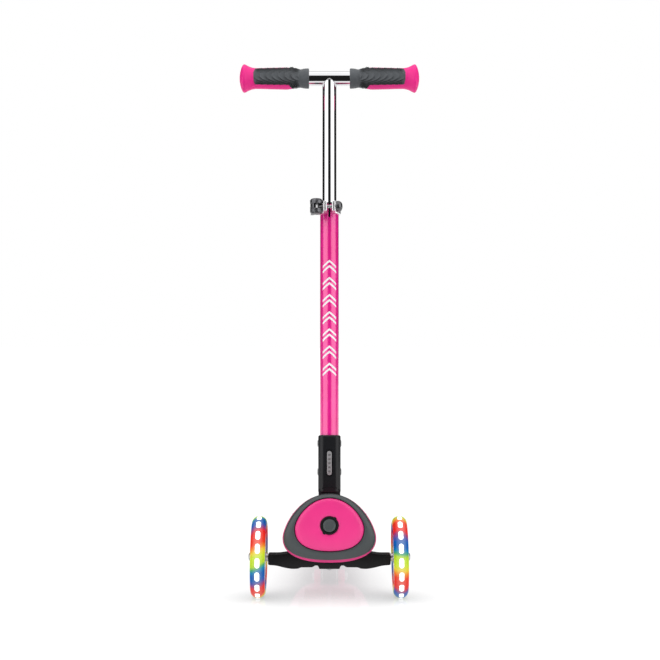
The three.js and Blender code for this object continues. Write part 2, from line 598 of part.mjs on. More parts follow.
// Profiles run outwards from the middle of the scooter.
function grip(side) {
  const { inner, outer, body, flare, sleeveEnd, sleeve } = GRIP;
  const bore = CROSSBAR.outer + GAP;
  const seat = body - 1.6;
  return turned([
    [bore, inner + GAP], [sleeve, inner + GAP], [sleeve, sleeveEnd], [seat, sleeveEnd], [seat, 119.5],
    [body - 0.2, 119.5], [body + 1.4, 125], [body + 4.6, 130.4], [flare, 133.8], [flare - 3, outer - 3.8],
    [flare - 8, outer - 1.6], [0, outer], [0, CROSSBAR.half + 1], [bore, CROSSBAR.half + 1], [bore, inner + GAP],
  ], new THREE.Vector3(0, 0, CROSSBAR.height), X_AXIS.clone().multiplyScalar(side), 20);
}

// A full sleeve at the inner end, and a front half shell beyond it.
function gripPanel(side) {
  const { inner, body, sleeveEnd, sleeve } = GRIP;
  const seat = body - 1.6 + GAP;
  const shell = turned([
    [sleeve + GAP, inner], [15.2, inner], [15.7, inner + 2], [15.4, inner + 7], [14, inner + 14], [14.6, 54],
    [16.6, 60], [body + 0.9, 66], [body + 0.2, 90], [body - 0.4, 119.2], [seat, 119.2], [seat, sleeveEnd - GAP],
    [sleeve + GAP, sleeveEnd - GAP], [sleeve + GAP, inner],
  ], new THREE.Vector3(0, 0, CROSSBAR.height), X_AXIS.clone().multiplyScalar(side), 20);
  const [from, to] = side < 0 ? [-130, -sleeveEnd] : [sleeveEnd, 130];
  return cut(shell, box(from, to, 4, 40, CROSSBAR.height - 40, CROSSBAR.height + 40));
}

for (const [name, side] of [['left', -1], ['right', 1]]) {
  add(bar, `${name}_grip`, grip(side), 'pink');
  add(bar, `${name}_grip_panel`, gripPanel(side), 'rubber');
}

// ---- Origin: on the ground, under the middle of the whole ----
scooter.updateMatrixWorld(true);
const size = new THREE.Box3().setFromObject(scooter, true);
scooter.position.y = -(size.min.y + size.max.y) / 2;

export default scooter;
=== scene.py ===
# The looks of a three-wheeled kick scooter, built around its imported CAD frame.
# Shapes are worked out in millimetres in the part's own local frames, then placed in metres.
import json
from functools import partial
from math import atan2, cos, exp, log, pi, radians, sin, sqrt

import bmesh
import bpy
from mathutils import Matrix, Vector


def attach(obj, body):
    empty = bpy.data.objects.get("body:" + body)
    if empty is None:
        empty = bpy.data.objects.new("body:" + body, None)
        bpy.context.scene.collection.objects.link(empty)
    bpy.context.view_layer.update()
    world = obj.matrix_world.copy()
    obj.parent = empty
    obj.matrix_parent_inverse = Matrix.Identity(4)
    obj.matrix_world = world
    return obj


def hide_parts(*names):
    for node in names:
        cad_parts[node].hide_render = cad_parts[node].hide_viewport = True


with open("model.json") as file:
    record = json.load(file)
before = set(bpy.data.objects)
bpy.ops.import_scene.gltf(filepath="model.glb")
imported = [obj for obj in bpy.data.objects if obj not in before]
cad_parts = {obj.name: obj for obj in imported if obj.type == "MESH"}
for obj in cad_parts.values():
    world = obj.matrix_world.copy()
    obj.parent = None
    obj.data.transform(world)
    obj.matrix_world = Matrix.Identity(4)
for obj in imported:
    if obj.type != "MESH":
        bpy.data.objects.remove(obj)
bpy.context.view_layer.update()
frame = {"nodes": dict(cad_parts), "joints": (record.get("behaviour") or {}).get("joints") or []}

# ---- Local frames: millimetres to the row frame's metres ----
MM = Matrix.Scale(0.001, 4)
JOINTS = {joint["name"]: joint for joint in frame["joints"]}
AXLE_Y = JOINTS["steer_lean"]["pos_m"][1]
FOLD = Vector(JOINTS["bar_fold"]["pos_m"])
UP_BAR = Vector(JOINTS["bar_height"]["axis"])
LEAN = atan2(UP_BAR.y, UP_BAR.z)

# The front frame has y = 0 at the front axle; the bar frame starts at the fold pin with z up the bar.
FRONT = Matrix.Translation((0, AXLE_Y, 0)) @ MM
BAR = Matrix.Translation(FOLD) @ Matrix.Rotation(-LEAN, 4, "X") @ MM


def wheel_frame(joint):
    """x along the axle, from the wheel's middle."""
    axis = Vector(JOINTS[joint]["axis"])
    tilt = Matrix.Rotation(atan2(-axis.z, axis.x), 4, "Y")
    return Matrix.Translation(Vector(JOINTS[joint]["pos_m"])) @ tilt @ MM


# ---- Mesh helpers ----
SCENE = bpy.context.scene
WELD_GAP = 2e-6
SLIVER = 1e-6
CUT_EDGE = 30


def add_object(name, data):
    made = bpy.data.objects.new(name, data)
    SCENE.collection.objects.link(made)
    return made


def shade_mesh(mesh, edge):
    """Smooth shading, sharp where faces meet at more than an angle in degrees."""
    mesh.shade_smooth()
    mesh.set_sharp_from_angle(angle=radians(edge))


def finish_piece(name, place, shapes, body, nodes, material, edge=35):
    """Joins shapes to one clean shaded mesh and ties it to the frame."""
    mesh = gather(name, place, shapes, SLIVER)
    shade_mesh(mesh, edge)
    piece = add_object(name, mesh)
    mesh.materials.append(material)
    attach(piece, body)
    if nodes:
        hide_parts(*nodes)
    return piece


def loft(rings, closed=False):
    """Vertices and faces of a skin over rings of equal length.

    A closed loft joins its last ring to its first; any other has its ends capped.
    """
    count = len(rings[0])
    verts = [tuple(point) for ring in rings for point in ring]
    faces = []
    steps = len(rings) if closed else len(rings) - 1
    for step in range(steps):
        here = step * count
        there = ((step + 1) % len(rings)) * count
        for index in range(count):
            after = (index + 1) % count
            faces.append((here + index, here + after, there + after, there + index))
    if not closed:
        faces.append(tuple(range(count)))
        faces.append(tuple(reversed(range(len(verts) - count, len(verts)))))
    return verts, faces


def gather(name, place, shapes, sliver=None):
    """One mesh from several (verts, faces) shapes, welded and with its faces turned outwards."""
    verts, faces = [], []
    for shape_verts, shape_faces in shapes:
        start = len(verts)
        verts += [place @ Vector(v) for v in shape_verts]
        faces += [tuple(start + i for i in face) for face in shape_faces]
    mesh = bpy.data.meshes.new(name)
    mesh.from_pydata(verts, [], faces)
    work = bmesh.new()
    work.from_mesh(mesh)
    bmesh.ops.remove_doubles(work, verts=work.verts, dist=WELD_GAP)
    if sliver:
        bmesh.ops.dissolve_degenerate(work, edges=work.edges, dist=sliver)
    bmesh.ops.recalc_face_normals(work, faces=work.faces)
    work.to_mesh(mesh)
    work.free()
    return mesh


def fillet(points, radius, closed=True, steps=4):
    """Rounds the corners of a polyline; a corner's own radius may follow its two coordinates."""
    rounded = []
    count = len(points)
    for index, point in enumerate(points):
        size = point[2] if len(point) > 2 else radius
        here = Vector(point[:2])
        if size == 0 or (not closed and index in (0, count - 1)):
            rounded.append(tuple(here))
            continue
        before = Vector(points[index - 1][:2]) - here
        after = Vector(points[(index + 1) % count][:2]) - here
        reach = min(size, before.length * 0.48, after.length * 0.48)
        start = here + before.normalized() * reach
        end = here + after.normalized() * reach
        for step in range(steps + 1):
            t = step / steps
            rounded.append(tuple(start * (1 - t) ** 2 + here * (2 * t * (1 - t)) + end * t * t))
    return rounded


SPIN = {
    "X": lambda r, s, turn: (s, r * cos(turn), r * sin(turn)),
    "Y": lambda r, s, turn: (r * sin(turn), s, r * cos(turn)),
    "Z": lambda r, s, turn: (r * cos(turn), r * sin(turn), s),
}


def rectangle(near, far, low, high):
    """An outline; turned in a lathe it is a plain tube, or a rod when near is 0."""
    return [(near, low), (far, low), (far, high), (near, high)]


def mirror(points):
    """An outline's other half, in the order that carries it on."""
    return [(-x, *rest) for x, *rest in reversed(points)]


def lathe(profile, sides, radius, axis="X", centre=(0, 0, 0)):
    """A closed [radius, distance] profile turned about an axis, its corners rounded."""
    middle = Vector(centre)
    rounded = fillet(profile, radius)
    rings = []
    for side in range(sides):
        turn = 2 * pi * side / sides
        rings.append([middle + Vector(SPIN[axis](r, s, turn)) for r, s in rounded])
    return loft(rings, closed=True)


def inset(outline, distance):
    """Moves each point of an anticlockwise outline inwards."""
    moved = []
    count = len(outline)
    for index in range(count):
        before = Vector(outline[index - 1])
        here = Vector(outline[index])
        after = Vector(outline[(index + 1) % count])
        along = ((here - before).normalized() + (after - here).normalized())
        along = along.normalized() if along.length > 1e-9 else (after - here).normalized()
        moved.append((here.x - along.y * distance, here.y + along.x * distance))
    return moved


LAY = {
    "XY": lambda a, b, c: (a, b, c),
    "XZ": lambda a, b, c: (a, c, b),
    "YZ": lambda a, b, c: (c, a, b),
}


def prism(outline, low, high, plane):
    """An outline extruded along the plane's normal, used only as a cutter."""
    return loft([[LAY[plane](a, b, level) for a, b in outline] for level in (low, high)])


def slab(outline, low, high, radius, plane="XY", steps=3):
    """An outline extruded along the plane's normal, both rims rounded."""
    levels = []
    for step in range(steps + 1):
        turn = pi / 2 * step / steps
        levels.append((radius * (1 - sin(turn)), low + radius * (1 - cos(turn))))
    levels += [(d, low + high - c) for d, c in reversed(levels)]
    return loft([[LAY[plane](a, b, level) for a, b in inset(outline, d)] for d, level in levels])


def arc(centre, radius, start, end, steps):
    """Points on a circle from one angle to another, in degrees."""
    points = []
    for step in range(steps + 1):
        turn = radians(start + (end - start) * step / steps)
        points.append((centre[0] + radius * cos(turn), centre[1] + radius * sin(turn)))
    return points


def capsule(half, reach, middle=0):
    """A round-ended outline along its second axis."""
    straight = reach - half
    return arc((0, middle + straight), half, 0, 180, 14) + arc((0, middle - straight), half, 180, 360, 14)


def bezier(p0, p1, p2, p3, steps):
    """Points on a cubic curve, without its last point."""
    points = []
    for step in range(steps):
        t = step / steps
        weights = ((1 - t) ** 3, 3 * t * (1 - t) ** 2, 3 * t * t * (1 - t), t ** 3)
        points.append(tuple(sum(w * p[k] for w, p in zip(weights, (p0, p1, p2, p3))) for k in (0, 1)))
    return points


def carve(piece, place, *cutters):
    """Cuts shapes out of a piece."""
    for number, cutter in enumerate(cutters):
        tool = add_object(f"cut_{number}", gather(f"cut_{number}", place, [cutter]))
        modifier = piece.modifiers.new("cut", "BOOLEAN")
        modifier.object = tool
        modifier.solver = "EXACT"
        result = piece.evaluated_get(bpy.context.evaluated_depsgraph_get())
        shaped = bpy.data.meshes.new_from_object(result)
        piece.modifiers.clear()
        old = piece.data
        piece.data = shaped
        shaped.name = old.name
        bpy.data.objects.remove(tool)
    shade_mesh(piece.data, CUT_EDGE)


def block(x0, x1, y0, y1, z0, z1):
    """A plain box, used only as a cutter."""
    corners = [(x, y, z) for x in (x0, x1) for y in (y0, y1) for z in (z0, z1)]
    faces = [(0, 1, 3, 2), (4, 6, 7, 5), (0, 4, 5, 1), (2, 3, 7, 6), (0, 2, 6, 4), (1, 5, 7, 3)]
    return corners, faces


# ---- Materials ----
def add_node(tree, kind, **values):
    """A new node; a value goes to the socket of its name or to the node's own property."""
    made = tree.nodes.new(kind)
    for key, value in values.items():
        if key in made.inputs:
            made.inputs[key].default_value = value
        else:
            setattr(made, key, value)
    return made


def add_math(tree, operation, *values):
    """A Math node; each value is a number or another node's output."""
    made = add_node(tree, "ShaderNodeMath", operation=operation)
    for socket, value in zip(made.inputs, values):
        if isinstance(value, (int, float)):
            socket.default_value = value
        else:
            tree.links.new(value, socket)
    return made.outputs[0]


class Shader:
    """A principled material with named extra nodes."""

    def __init__(self, name, color, roughness, metallic=0.0, **sockets):
        self.material = bpy.data.materials.new(name)
        self.material.use_nodes = True
        self.tree = self.material.node_tree
        self.node = partial(add_node, self.tree)
        self.link = self.tree.links.new
        self.main = self.tree.nodes["Principled BSDF"]
        sockets.update(Base_Color=(*color, 1), Roughness=roughness, Metallic=metallic)
        for socket, value in sockets.items():
            self.main.inputs[socket.replace("_", " ")].default_value = value
        self.place = self.tree.nodes.new("ShaderNodeTexCoord").outputs["Object"]

    def noise(self, scale, detail=3.0, roughness=0.5):
        """Fractal noise in metres of object space."""
        made = self.node("ShaderNodeTexNoise", Scale=scale, Detail=detail, Roughness=roughness)
        self.link(self.place, made.inputs["Vector"])
        return made.outputs["Fac"]

    def ramp(self, source, stops):
        """A colour ramp over a 0 to 1 source; stops are (position, colour)."""
        made = self.node("ShaderNodeValToRGB")
        elements = made.color_ramp.elements
        for index, (position, color) in enumerate(stops):
            element = elements[index] if index < 2 else elements.new(position)
            element.position = position
            element.color = (*color, 1)
        self.link(source, made.inputs["Fac"])
        return made.outputs["Color"]

    def vary_color(self, source, dark, light, low=0.35, high=0.65):
        """Base colour that drifts between two tones."""
        self.link(self.ramp(source, [(low, dark), (high, light)]), self.main.inputs["Base Color"])

    def vary_roughness(self, source, low, high):
        made = self.node("ShaderNodeMapRange", **{"To Min": low, "To Max": high})
        self.link(source, made.inputs["Value"])
        self.link(made.outputs["Result"], self.main.inputs["Roughness"])

    def paint_groove_shade(self):
        """Painted shade: the base colour is darkened where the surface is close to itself."""
        hidden = self.node("ShaderNodeAmbientOcclusion", samples=8, Distance=0.005)
        # Painted shade: ambient occlusion is turned into a darker base colour in grooves and creases.
        depth = self.ramp(hidden.outputs["AO"], [(0.55, (0.2, 0.2, 0.2)), (0.95, (1, 1, 1))])
        mixed = self.node("ShaderNodeMix", data_type="RGBA", blend_type="MULTIPLY", Factor=1)
        self.link(self.main.inputs["Base Color"].links[0].from_socket, mixed.inputs["A"])
        self.link(depth, mixed.inputs["B"])
        self.link(mixed.outputs["Result"], self.main.inputs["Base Color"])

    def bump(self, source, strength, distance):
        made = self.node("ShaderNodeBump", Strength=strength, Distance=distance)
        self.link(source, made.inputs["Height"])
        previous = self.main.inputs["Normal"].links
        if previous:
            self.link(previous[0].from_socket, made.inputs["Normal"])
        self.link(made.outputs["Normal"], self.main.inputs["Normal"])


def shade(color, factor):
    """A colour made lighter or darker."""
    return tuple(min(1.0, c * factor) for c in color)


def moulded(name, color, roughness, grain, **sockets):
    """Moulded plastic: fine spark-eroded grain, slow tone drift and uneven gloss."""
    shader = Shader(name, color, roughness, **sockets)
    drift = shader.noise(18.0, 4.0)
    shader.vary_color(drift, shade(color, 0.93), shade(color, 1.05))
    shader.vary_roughness(shader.noise(60.0, 5.0), roughness - 0.06, roughness + 0.08)
    shader.bump(shader.noise(2600.0, 2.0), grain, 0.00012)
    return shader.material


def rubbery(name, color):
    """Soft moulded rubber: matt, dusty and finely pitted, with painted shade in its grooves."""
    shader = Shader(name, color, 0.62, Specular_IOR_Level=0.35, Sheen_Weight=0.15, Sheen_Roughness=0.5)
    shader.vary_color(shader.noise(45.0, 6.0, 0.6), shade(color, 0.86), shade(color, 1.12))
    # Painted shade darkens the base colour in grooves and creases.
    shader.paint_groove_shade()
    shader.vary_roughness(shader.noise(140.0, 4.0), 0.52, 0.74)
    shader.bump(shader.noise(1500.0, 3.0, 0.6), 0.22, 0.0002)
    return shader.material


def polished(name, color, roughness, brush=0.0):
    """Bare or plated metal with faint wear haze."""
    shader = Shader(name, color, roughness, 1.0)
    shader.vary_roughness(shader.noise(90.0, 6.0, 0.65), roughness * 0.6, roughness * 1.5 + 0.01)
    if brush:
        shader.bump(shader.noise(1800.0, 4.0, 0.7), brush, 0.00006)
    return shader.material


PINK = (0.80, 0.036, 0.235)
GREY = (0.046, 0.054, 0.057)
BLACK = (0.006, 0.006, 0.0065)

pink_plastic = moulded("pink_plastic", PINK, 0.34, 0.08, Coat_Weight=0.15, Coat_Roughness=0.25,
                       Specular_IOR_Level=0.35)
pink_rubber = moulded("pink_rubber", (0.90, 0.022, 0.27), 0.45, 0.16, Specular_IOR_Level=0.25)
grey_plastic = moulded("dark_grey_plastic", GREY, 0.42, 0.15)
black_plastic = moulded("black_plastic", BLACK, 0.36, 0.18, Specular_IOR_Level=0.2)
satin_black = moulded("satin_black", (0.009, 0.0095, 0.011), 0.3, 0.12, Specular_IOR_Level=0.25)
badge_mark = moulded("badge_mark", (0.12, 0.117, 0.12), 0.42, 0.1)
grey_rubber = rubbery("grey_rubber", (0.085, 0.093, 0.102))
pad_rubber = rubbery("pad_rubber", (0.06, 0.064, 0.068))
white_nylon = moulded("white_nylon", (0.85, 0.86, 0.86), 0.35, 0.06)
chrome = polished("chrome", (0.74, 0.74, 0.755), 0.035)
clear_steel = polished("zinc_steel", (0.62, 0.62, 0.63), 0.28, 0.15)
polished_alloy = polished("polished_alloy", (0.84, 0.84, 0.85), 0.32, 0.05)
badge_grey = moulded("badge_grey", (0.25, 0.245, 0.25), 0.38, 0.1)
rear_rubber = rubbery("rear_tyre_rubber", (0.035, 0.036, 0.038))


def lacquer():
    """Tinted lacquer over drawn aluminium: metal glow under a clear coat."""
    shader = Shader("pink_lacquer", (0.8, 0.02, 0.26), 0.34, 0.12,
                    Coat_Weight=0.9, Coat_Roughness=0.14, Coat_IOR=1.65)
    shader.vary_color(shader.noise(30.0, 4.0), (0.82, 0.008, 0.25), (0.87, 0.012, 0.29))
    shader.vary_roughness(shader.noise(120.0, 4.0), 0.26, 0.36)
    shader.bump(shader.noise(3200.0, 2.0), 0.05, 0.00008)
    return shader.material


pink_paint = lacquer()
white_print = moulded("white_print", (0.88, 0.88, 0.88), 0.35, 0.04)
nut_grey = polished("nut_grey", (0.12, 0.12, 0.125), 0.26, 0.2)
spring_steel = polished("spring_steel", (0.45, 0.45, 0.47), 0.22, 0.1)


def mottled_alloy():
    """Dark anodised casting with a mottled sheen."""
    shader = Shader("lever_alloy", (0.09, 0.09, 0.095), 0.34, 0.8)
    shader.vary_color(shader.noise(260.0, 5.0, 0.65), (0.05, 0.05, 0.055), (0.16, 0.16, 0.17), 0.4, 0.62)
    shader.vary_roughness(shader.noise(300.0, 4.0), 0.25, 0.45)
    shader.bump(shader.noise(900.0, 3.0), 0.15, 0.0002)
    return shader.material


lever_alloy = mottled_alloy()


# ---- Front module ----
def triangle(bottom, wide, top, half, pulls, grow=0.0):
    """A rounded triangle, x across and z up, anticlockwise from its lowest point.

    Its half width is greatest at height wide; pulls place the handles of its curves.
    """
    bottom_pull, lower, upper, top_pull = pulls
    side, low, high = half + grow, bottom - grow, top + grow
    right = bezier((0, low), (bottom_pull, low), (side, lower), (side, wide), 26)
    right += bezier((side, wide), (side, upper), (top_pull, high), (0, high), 26)
    return right + [(0, high)] + mirror(right[1:])


def housing_outline():
    return triangle(bottom=56, wide=92.4, top=158, half=69.2, pulls=(40, 66, 109.2, 45))


def ring_outline():
    return triangle(bottom=61, wide=93, top=157.8, half=67.6, pulls=(39, 69, 109.2, 44.5))


def face_outline(grow=0.0):
    return triangle(bottom=74.9, wide=107.7, top=152.6, half=50.6, pulls=(30, 84, 122, 30), grow=grow)


def between(outer, inner, levels):
    """A closed skin whose rings run from one outline to another; levels are (share, y)."""
    rings = []
    for share, y in levels:
        rings.append([(a[0] + (b[0] - a[0]) * share, y, a[1] + (b[1] - a[1]) * share)
                      for a, b in zip(outer, inner)])
    return loft(rings, closed=True)


BUTTON_Z = 113.2
BUTTON_RIM = 13.6
HOUSING_FRONT = -27.7
HOUSING_TOP = 160
HOUSING_TAIL = 69
SHELL_BACK = 130
# The housing narrows by this share from front to back, towards this height.
SHRINK = 0.3
PINCH = 60
FOLD_PIN_Y, FOLD_PIN_Z = 30.8, 118


def shell_height(y):
    """Height of the housing's back, falling smoothly to the deck."""
    crest = 24
    spine = bezier((118, HOUSING_TAIL), (114, 82), (92, 88), (78, 106), 20)
    spine += bezier((78, 106), (66, 126), (52, 150), (crest, HOUSING_TOP), 20) + [(crest, HOUSING_TOP)]
    if y <= crest:
        return HOUSING_TOP
    for (y0, z0), (y1, z1) in zip(spine, spine[1:]):
        if y1 <= y <= y0:
            return z0 + (z1 - z0) * (y0 - y) / max(y0 - y1, 1e-6)
    return HOUSING_TAIL


def housing_ring(y, edge, floor):
    """The housing's section at y, its top blended softly into the falling spine."""
    scale = 1 - SHRINK * (y - HOUSING_FRONT) / (SHELL_BACK - HOUSING_FRONT)
    limit = shell_height(y)
    soft = 2.5
    ring = []
    for x, z in inset(housing_outline(), edge):
        height = PINCH + (z - PINCH) * scale
        if height > limit - 8 * soft:
            height = -soft * log(exp(-height / soft) + exp(-limit / soft))
        ring.append((x * scale, y, max(height, floor)))
    return ring


def front_housing():
    rings = [housing_ring(HOUSING_FRONT, 1.6, 0), housing_ring(HOUSING_FRONT + 0.5, 0.5, 0)]
    rings += [housing_ring(HOUSING_FRONT + 1.6 + 51.1 * step / 16, 0, 0) for step in range(17)]
    rings += [housing_ring(25.5 + 91.5 * step / 40, 0, 68.3) for step in range(41)]
    piece = finish_piece("front_shell", FRONT, [loft(rings)],
        "deck", ["front_housing"], pink_plastic)
    tunnel = [(-10, 30), (-75, 30), (-75, 86), (-10, 72), (10, 72), (75, 86), (75, 30), (10, 30)]
    carve(piece, FRONT,
          block(-17.8, 17.8, 12.5, 140, 97.5, 180),
          prism(tunnel[::-1], -22.5, 26.5, "XZ"),
          lathe(rectangle(0, 4.3, -80, 80), 32, 0, "X", (0, FOLD_PIN_Y, FOLD_PIN_Z)))
    return piece


def front_module():
    front_housing()
    ring = [(0, -28), (0, -33.4), (0.015, -35.2), (0.05, -36.6), (0.12, -37.8), (0.3, -39.4),
            (0.55, -40.7), (0.8, -41.4), (0.93, -41.5), (0.985, -41.1), (1, -40.4), (1, -31), (0.6, -28)]
    finish_piece("ring_cover", FRONT, [between(ring_outline(), face_outline(0.8), ring)],
        "deck", ["front_ring"], grey_plastic)

    outline = face_outline()
    circle = []
    for x, z in outline:
        away = Vector((x, z - BUTTON_Z)).normalized() * BUTTON_RIM
        circle.append((away.x, BUTTON_Z + away.y))
    dome = [(0, -30), (0, -38.4), (0.006, -40), (0.02, -41.6), (0.05, -43), (0.1, -43.9),
            (0.2, -44.6), (0.4, -45.2), (0.65, -45.5), (0.88, -45.5), (0.97, -45.3), (1, -44.8), (1, -30)]
    finish_piece("face_cover", FRONT, [between(outline, circle, dome)],
        "deck", ["face_panel"], pink_plastic)

    bezel = [(10.1, -30), (13.2, -30), (13.2, -46.4), (12.6, -47), (10.7, -47), (10.1, -46.4)]
    bezel = lathe(bezel, 96, 0.4, "Y", (0, 0, BUTTON_Z))
    keys = []
    for clock in (52, 235):
        turn = radians(clock)
        out = Vector((cos(turn), sin(turn)))
        side = Vector((-out.y, out.x)) * 1.9
        corners = [out * 12.4 - side, out * 14.9 - side, out * 14.9 + side, out * 12.4 + side]
        key = fillet([(c.x, BUTTON_Z + c.y) for c in corners], 0.5)
        keys.append(slab(key, -46.6, -40, 0.4, "XZ"))
    finish_piece("bezel", FRONT, [bezel, *keys],
        "deck", ["button_bezel"], black_plastic)

    button = [(0, -47.5), (6.9, -47.5), (7.9, -48), (8.8, -47.9), (9.6, -47), (9.6, -38), (5, -38),
              (5, 5), (0, 5)]
    button = lathe(button, 96, 0.5, "Y", (0, 0, BUTTON_Z))
    finish_piece("release_button", FRONT, [button],
        "fold_button", ["fold_button"], grey_plastic)


def front_truck():
    """The arms' outline from below, then the recesses for the kingpin's head and bumper."""
    half = [(0, 46.2, 0), (15.5, 46.2, 1), (17.5, 49.2, 1), (21.4, 49.2, 1), (25, 46.6, 2),
            (42.6, 46.4, 2), (46, 44.6, 3), (55, 44), (66, 45.8), (78, 49), (91, 50, 2.5),
            (91, 66, 2.5), (74, 66), (66, 67.2), (58, 68.4), (48, 67), (0, 67, 0)]
    outline = fillet(half + mirror(half[1:-1]), 5, steps=5)
    piece = finish_piece("truck_arms", FRONT, [slab(outline, -11, 11, 1.1, "XZ", 4)],
        "front_truck", ["axle_bridge"], black_plastic)
    pitch = Vector(JOINTS["steer_lean"]["axis"])
    tilt = Vector((0, 0, 1)).rotation_difference(pitch).to_matrix().to_4x4()
    king = Matrix.Translation(Vector(JOINTS["steer_lean"]["pos_m"])) @ tilt @ MM
    carve(piece, king,
          lathe(rectangle(0, 9.4, -50, -11), 40, 0, "Z"),
          lathe(rectangle(0, 11.5, 13.4, 60), 40, 0, "Z"))
    key = fillet(rectangle(-15.5, 15.5, 46, 58.5), 1.6)
    finish_piece("lock_key", FRONT, [slab(key, -22.2, -16.5, 0.8, "XZ")],
        "steering_lock", ["steering_lock_button"], black_plastic)


# ---- Wheels ----
FRONT_RADIUS, FRONT_WIDTH, FRONT_RIM = 60.5, 22, 43
REAR_RADIUS, REAR_WIDTH, REAR_RIM = 40, 24, 27
WINDOWS = 18
WINDOW_HALF = 3.45
WINDOW_REACH = WINDOW_HALF + 3.9
COLOUR_PERIODS = 4
SPOKES = 5
BEARING_HALF = 3.5


def crown(half, radius, x):
    """Radius of a tyre's tread at a distance from its middle."""
    return radius - half * 0.92 * (1 - sqrt(max(0.0, 1 - (x / half) ** 2)))


def tyre(radius, width, rim):
    half = width / 2
    tread_points = []
    for step in range(25):
        x = -half * cos(pi * step / 24)
        tread_points.append((crown(half, radius, x), x, 0))
    foot = rim + 0.3
    profile = [(foot, -half + 1.5)] + tread_points + [(foot, half - 1.5)]
    return lathe(profile, 160, 0.6)


def lit_window(radius, half, turn):
    """A round-ended light window laid on the tread."""
    outline = capsule(WINDOW_HALF, WINDOW_REACH)
    levels = ((0, -0.8), (0, 0), (0.15, 0.18), (0.45, 0.28), (1.2, 0.3),
              (2.2, 0.3), (3.0, 0.3), (3.4, 0.3))
    rings = [[(x, along, level) for x, along in inset(outline, edge)] for edge, level in levels]
    verts, faces = loft(rings)
    bent = []
    for x, along, height in verts:
        reach = crown(half, radius, x) + height
        angle = turn + along / radius
        bent.append((x, -reach * cos(angle), reach * sin(angle)))
    return bent, faces


def glow_material(name, centre, direction, offset, drift):
    """Clear polyurethane lit from inside by bands of colour that run round the wheel."""
    shader = Shader(name, (0.5, 0.5, 0.5), 0.3, Specular_IOR_Level=0.05, Emission_Strength=0.2)
    parts = shader.node("ShaderNodeSeparateXYZ")
    shader.link(shader.place, parts.inputs[0])

    math_node = partial(add_math, shader.tree)
    across = math_node("SUBTRACT", parts.outputs["X"], centre.x)
    forward = math_node("SUBTRACT", centre.y, parts.outputs["Y"])
    height = math_node("SUBTRACT", parts.outputs["Z"], centre.z)
    around = math_node("ARCTAN2", height, forward)
    turn = math_node("MULTIPLY", around, direction * COLOUR_PERIODS / (2 * pi))
    bands = math_node("ADD", math_node("ADD", turn, offset), math_node("MULTIPLY", across, drift))
    wobble = math_node("MULTIPLY", shader.noise(70.0, 3.0), 0.06)
    place = math_node("FRACT", math_node("ADD", bands, wobble))
    blue, red = (0.0, 0.085, 0.34), (0.62, 0.014, 0.014)
    colors = shader.ramp(place, [
        (0.0, blue), (0.06, (0.05, 0.06, 0.30)), (0.13, (0.26, 0.03, 0.13)), (0.20, red),
        (0.41, (0.66, 0.035, 0.01)), (0.48, (0.70, 0.2, 0.02)), (0.54, (0.66, 0.48, 0.03)),
        (0.62, (0.46, 0.60, 0.02)), (0.75, (0.36, 0.54, 0.02)), (0.80, (0.05, 0.30, 0.12)),
        (0.85, (0.0, 0.17, 0.36)), (0.91, blue),
    ])
    # The light is strongest at the middle of the tread and fades at its shoulders.
    middle = math_node("ABSOLUTE", across)
    pale_stops = [(0.15, (0.13, 0.13, 0.13)), (0.7, (0, 0, 0))]
    paleness = shader.ramp(math_node("MULTIPLY", middle, 80.0), pale_stops)
    pale = shader.node("ShaderNodeMix", data_type="RGBA", blend_type="MIX")
    shader.link(paleness, pale.inputs["Factor"])
    shader.link(colors, pale.inputs["A"])
    pale.inputs["B"].default_value = (0.95, 0.97, 0.88, 1)
    shader.link(pale.outputs["Result"], shader.main.inputs["Base Color"])
    shader.link(pale.outputs["Result"], shader.main.inputs["Emission Color"])
    return shader.material


def hub(rim, boss, half_rim, face):
    """A disc hub: bearing seats in its boss, a thin face and a flanged rim."""
    seat = boss - 2 * BEARING_HALF - 0.2
    half = [(16.3, face), (15.3, boss), (11.3, boss), (11.3, seat, 0), (10.1, seat, 0)]
    near = [(r, -x, *size) for r, x, *size in reversed(half)]
    rims = [(rim - 6, -face), (rim - 4.5, -half_rim), (rim, -half_rim), (rim, half_rim),
            (rim - 4.5, half_rim), (rim - 6, face)]
    return lathe(near + rims + half, 96, 0.8)


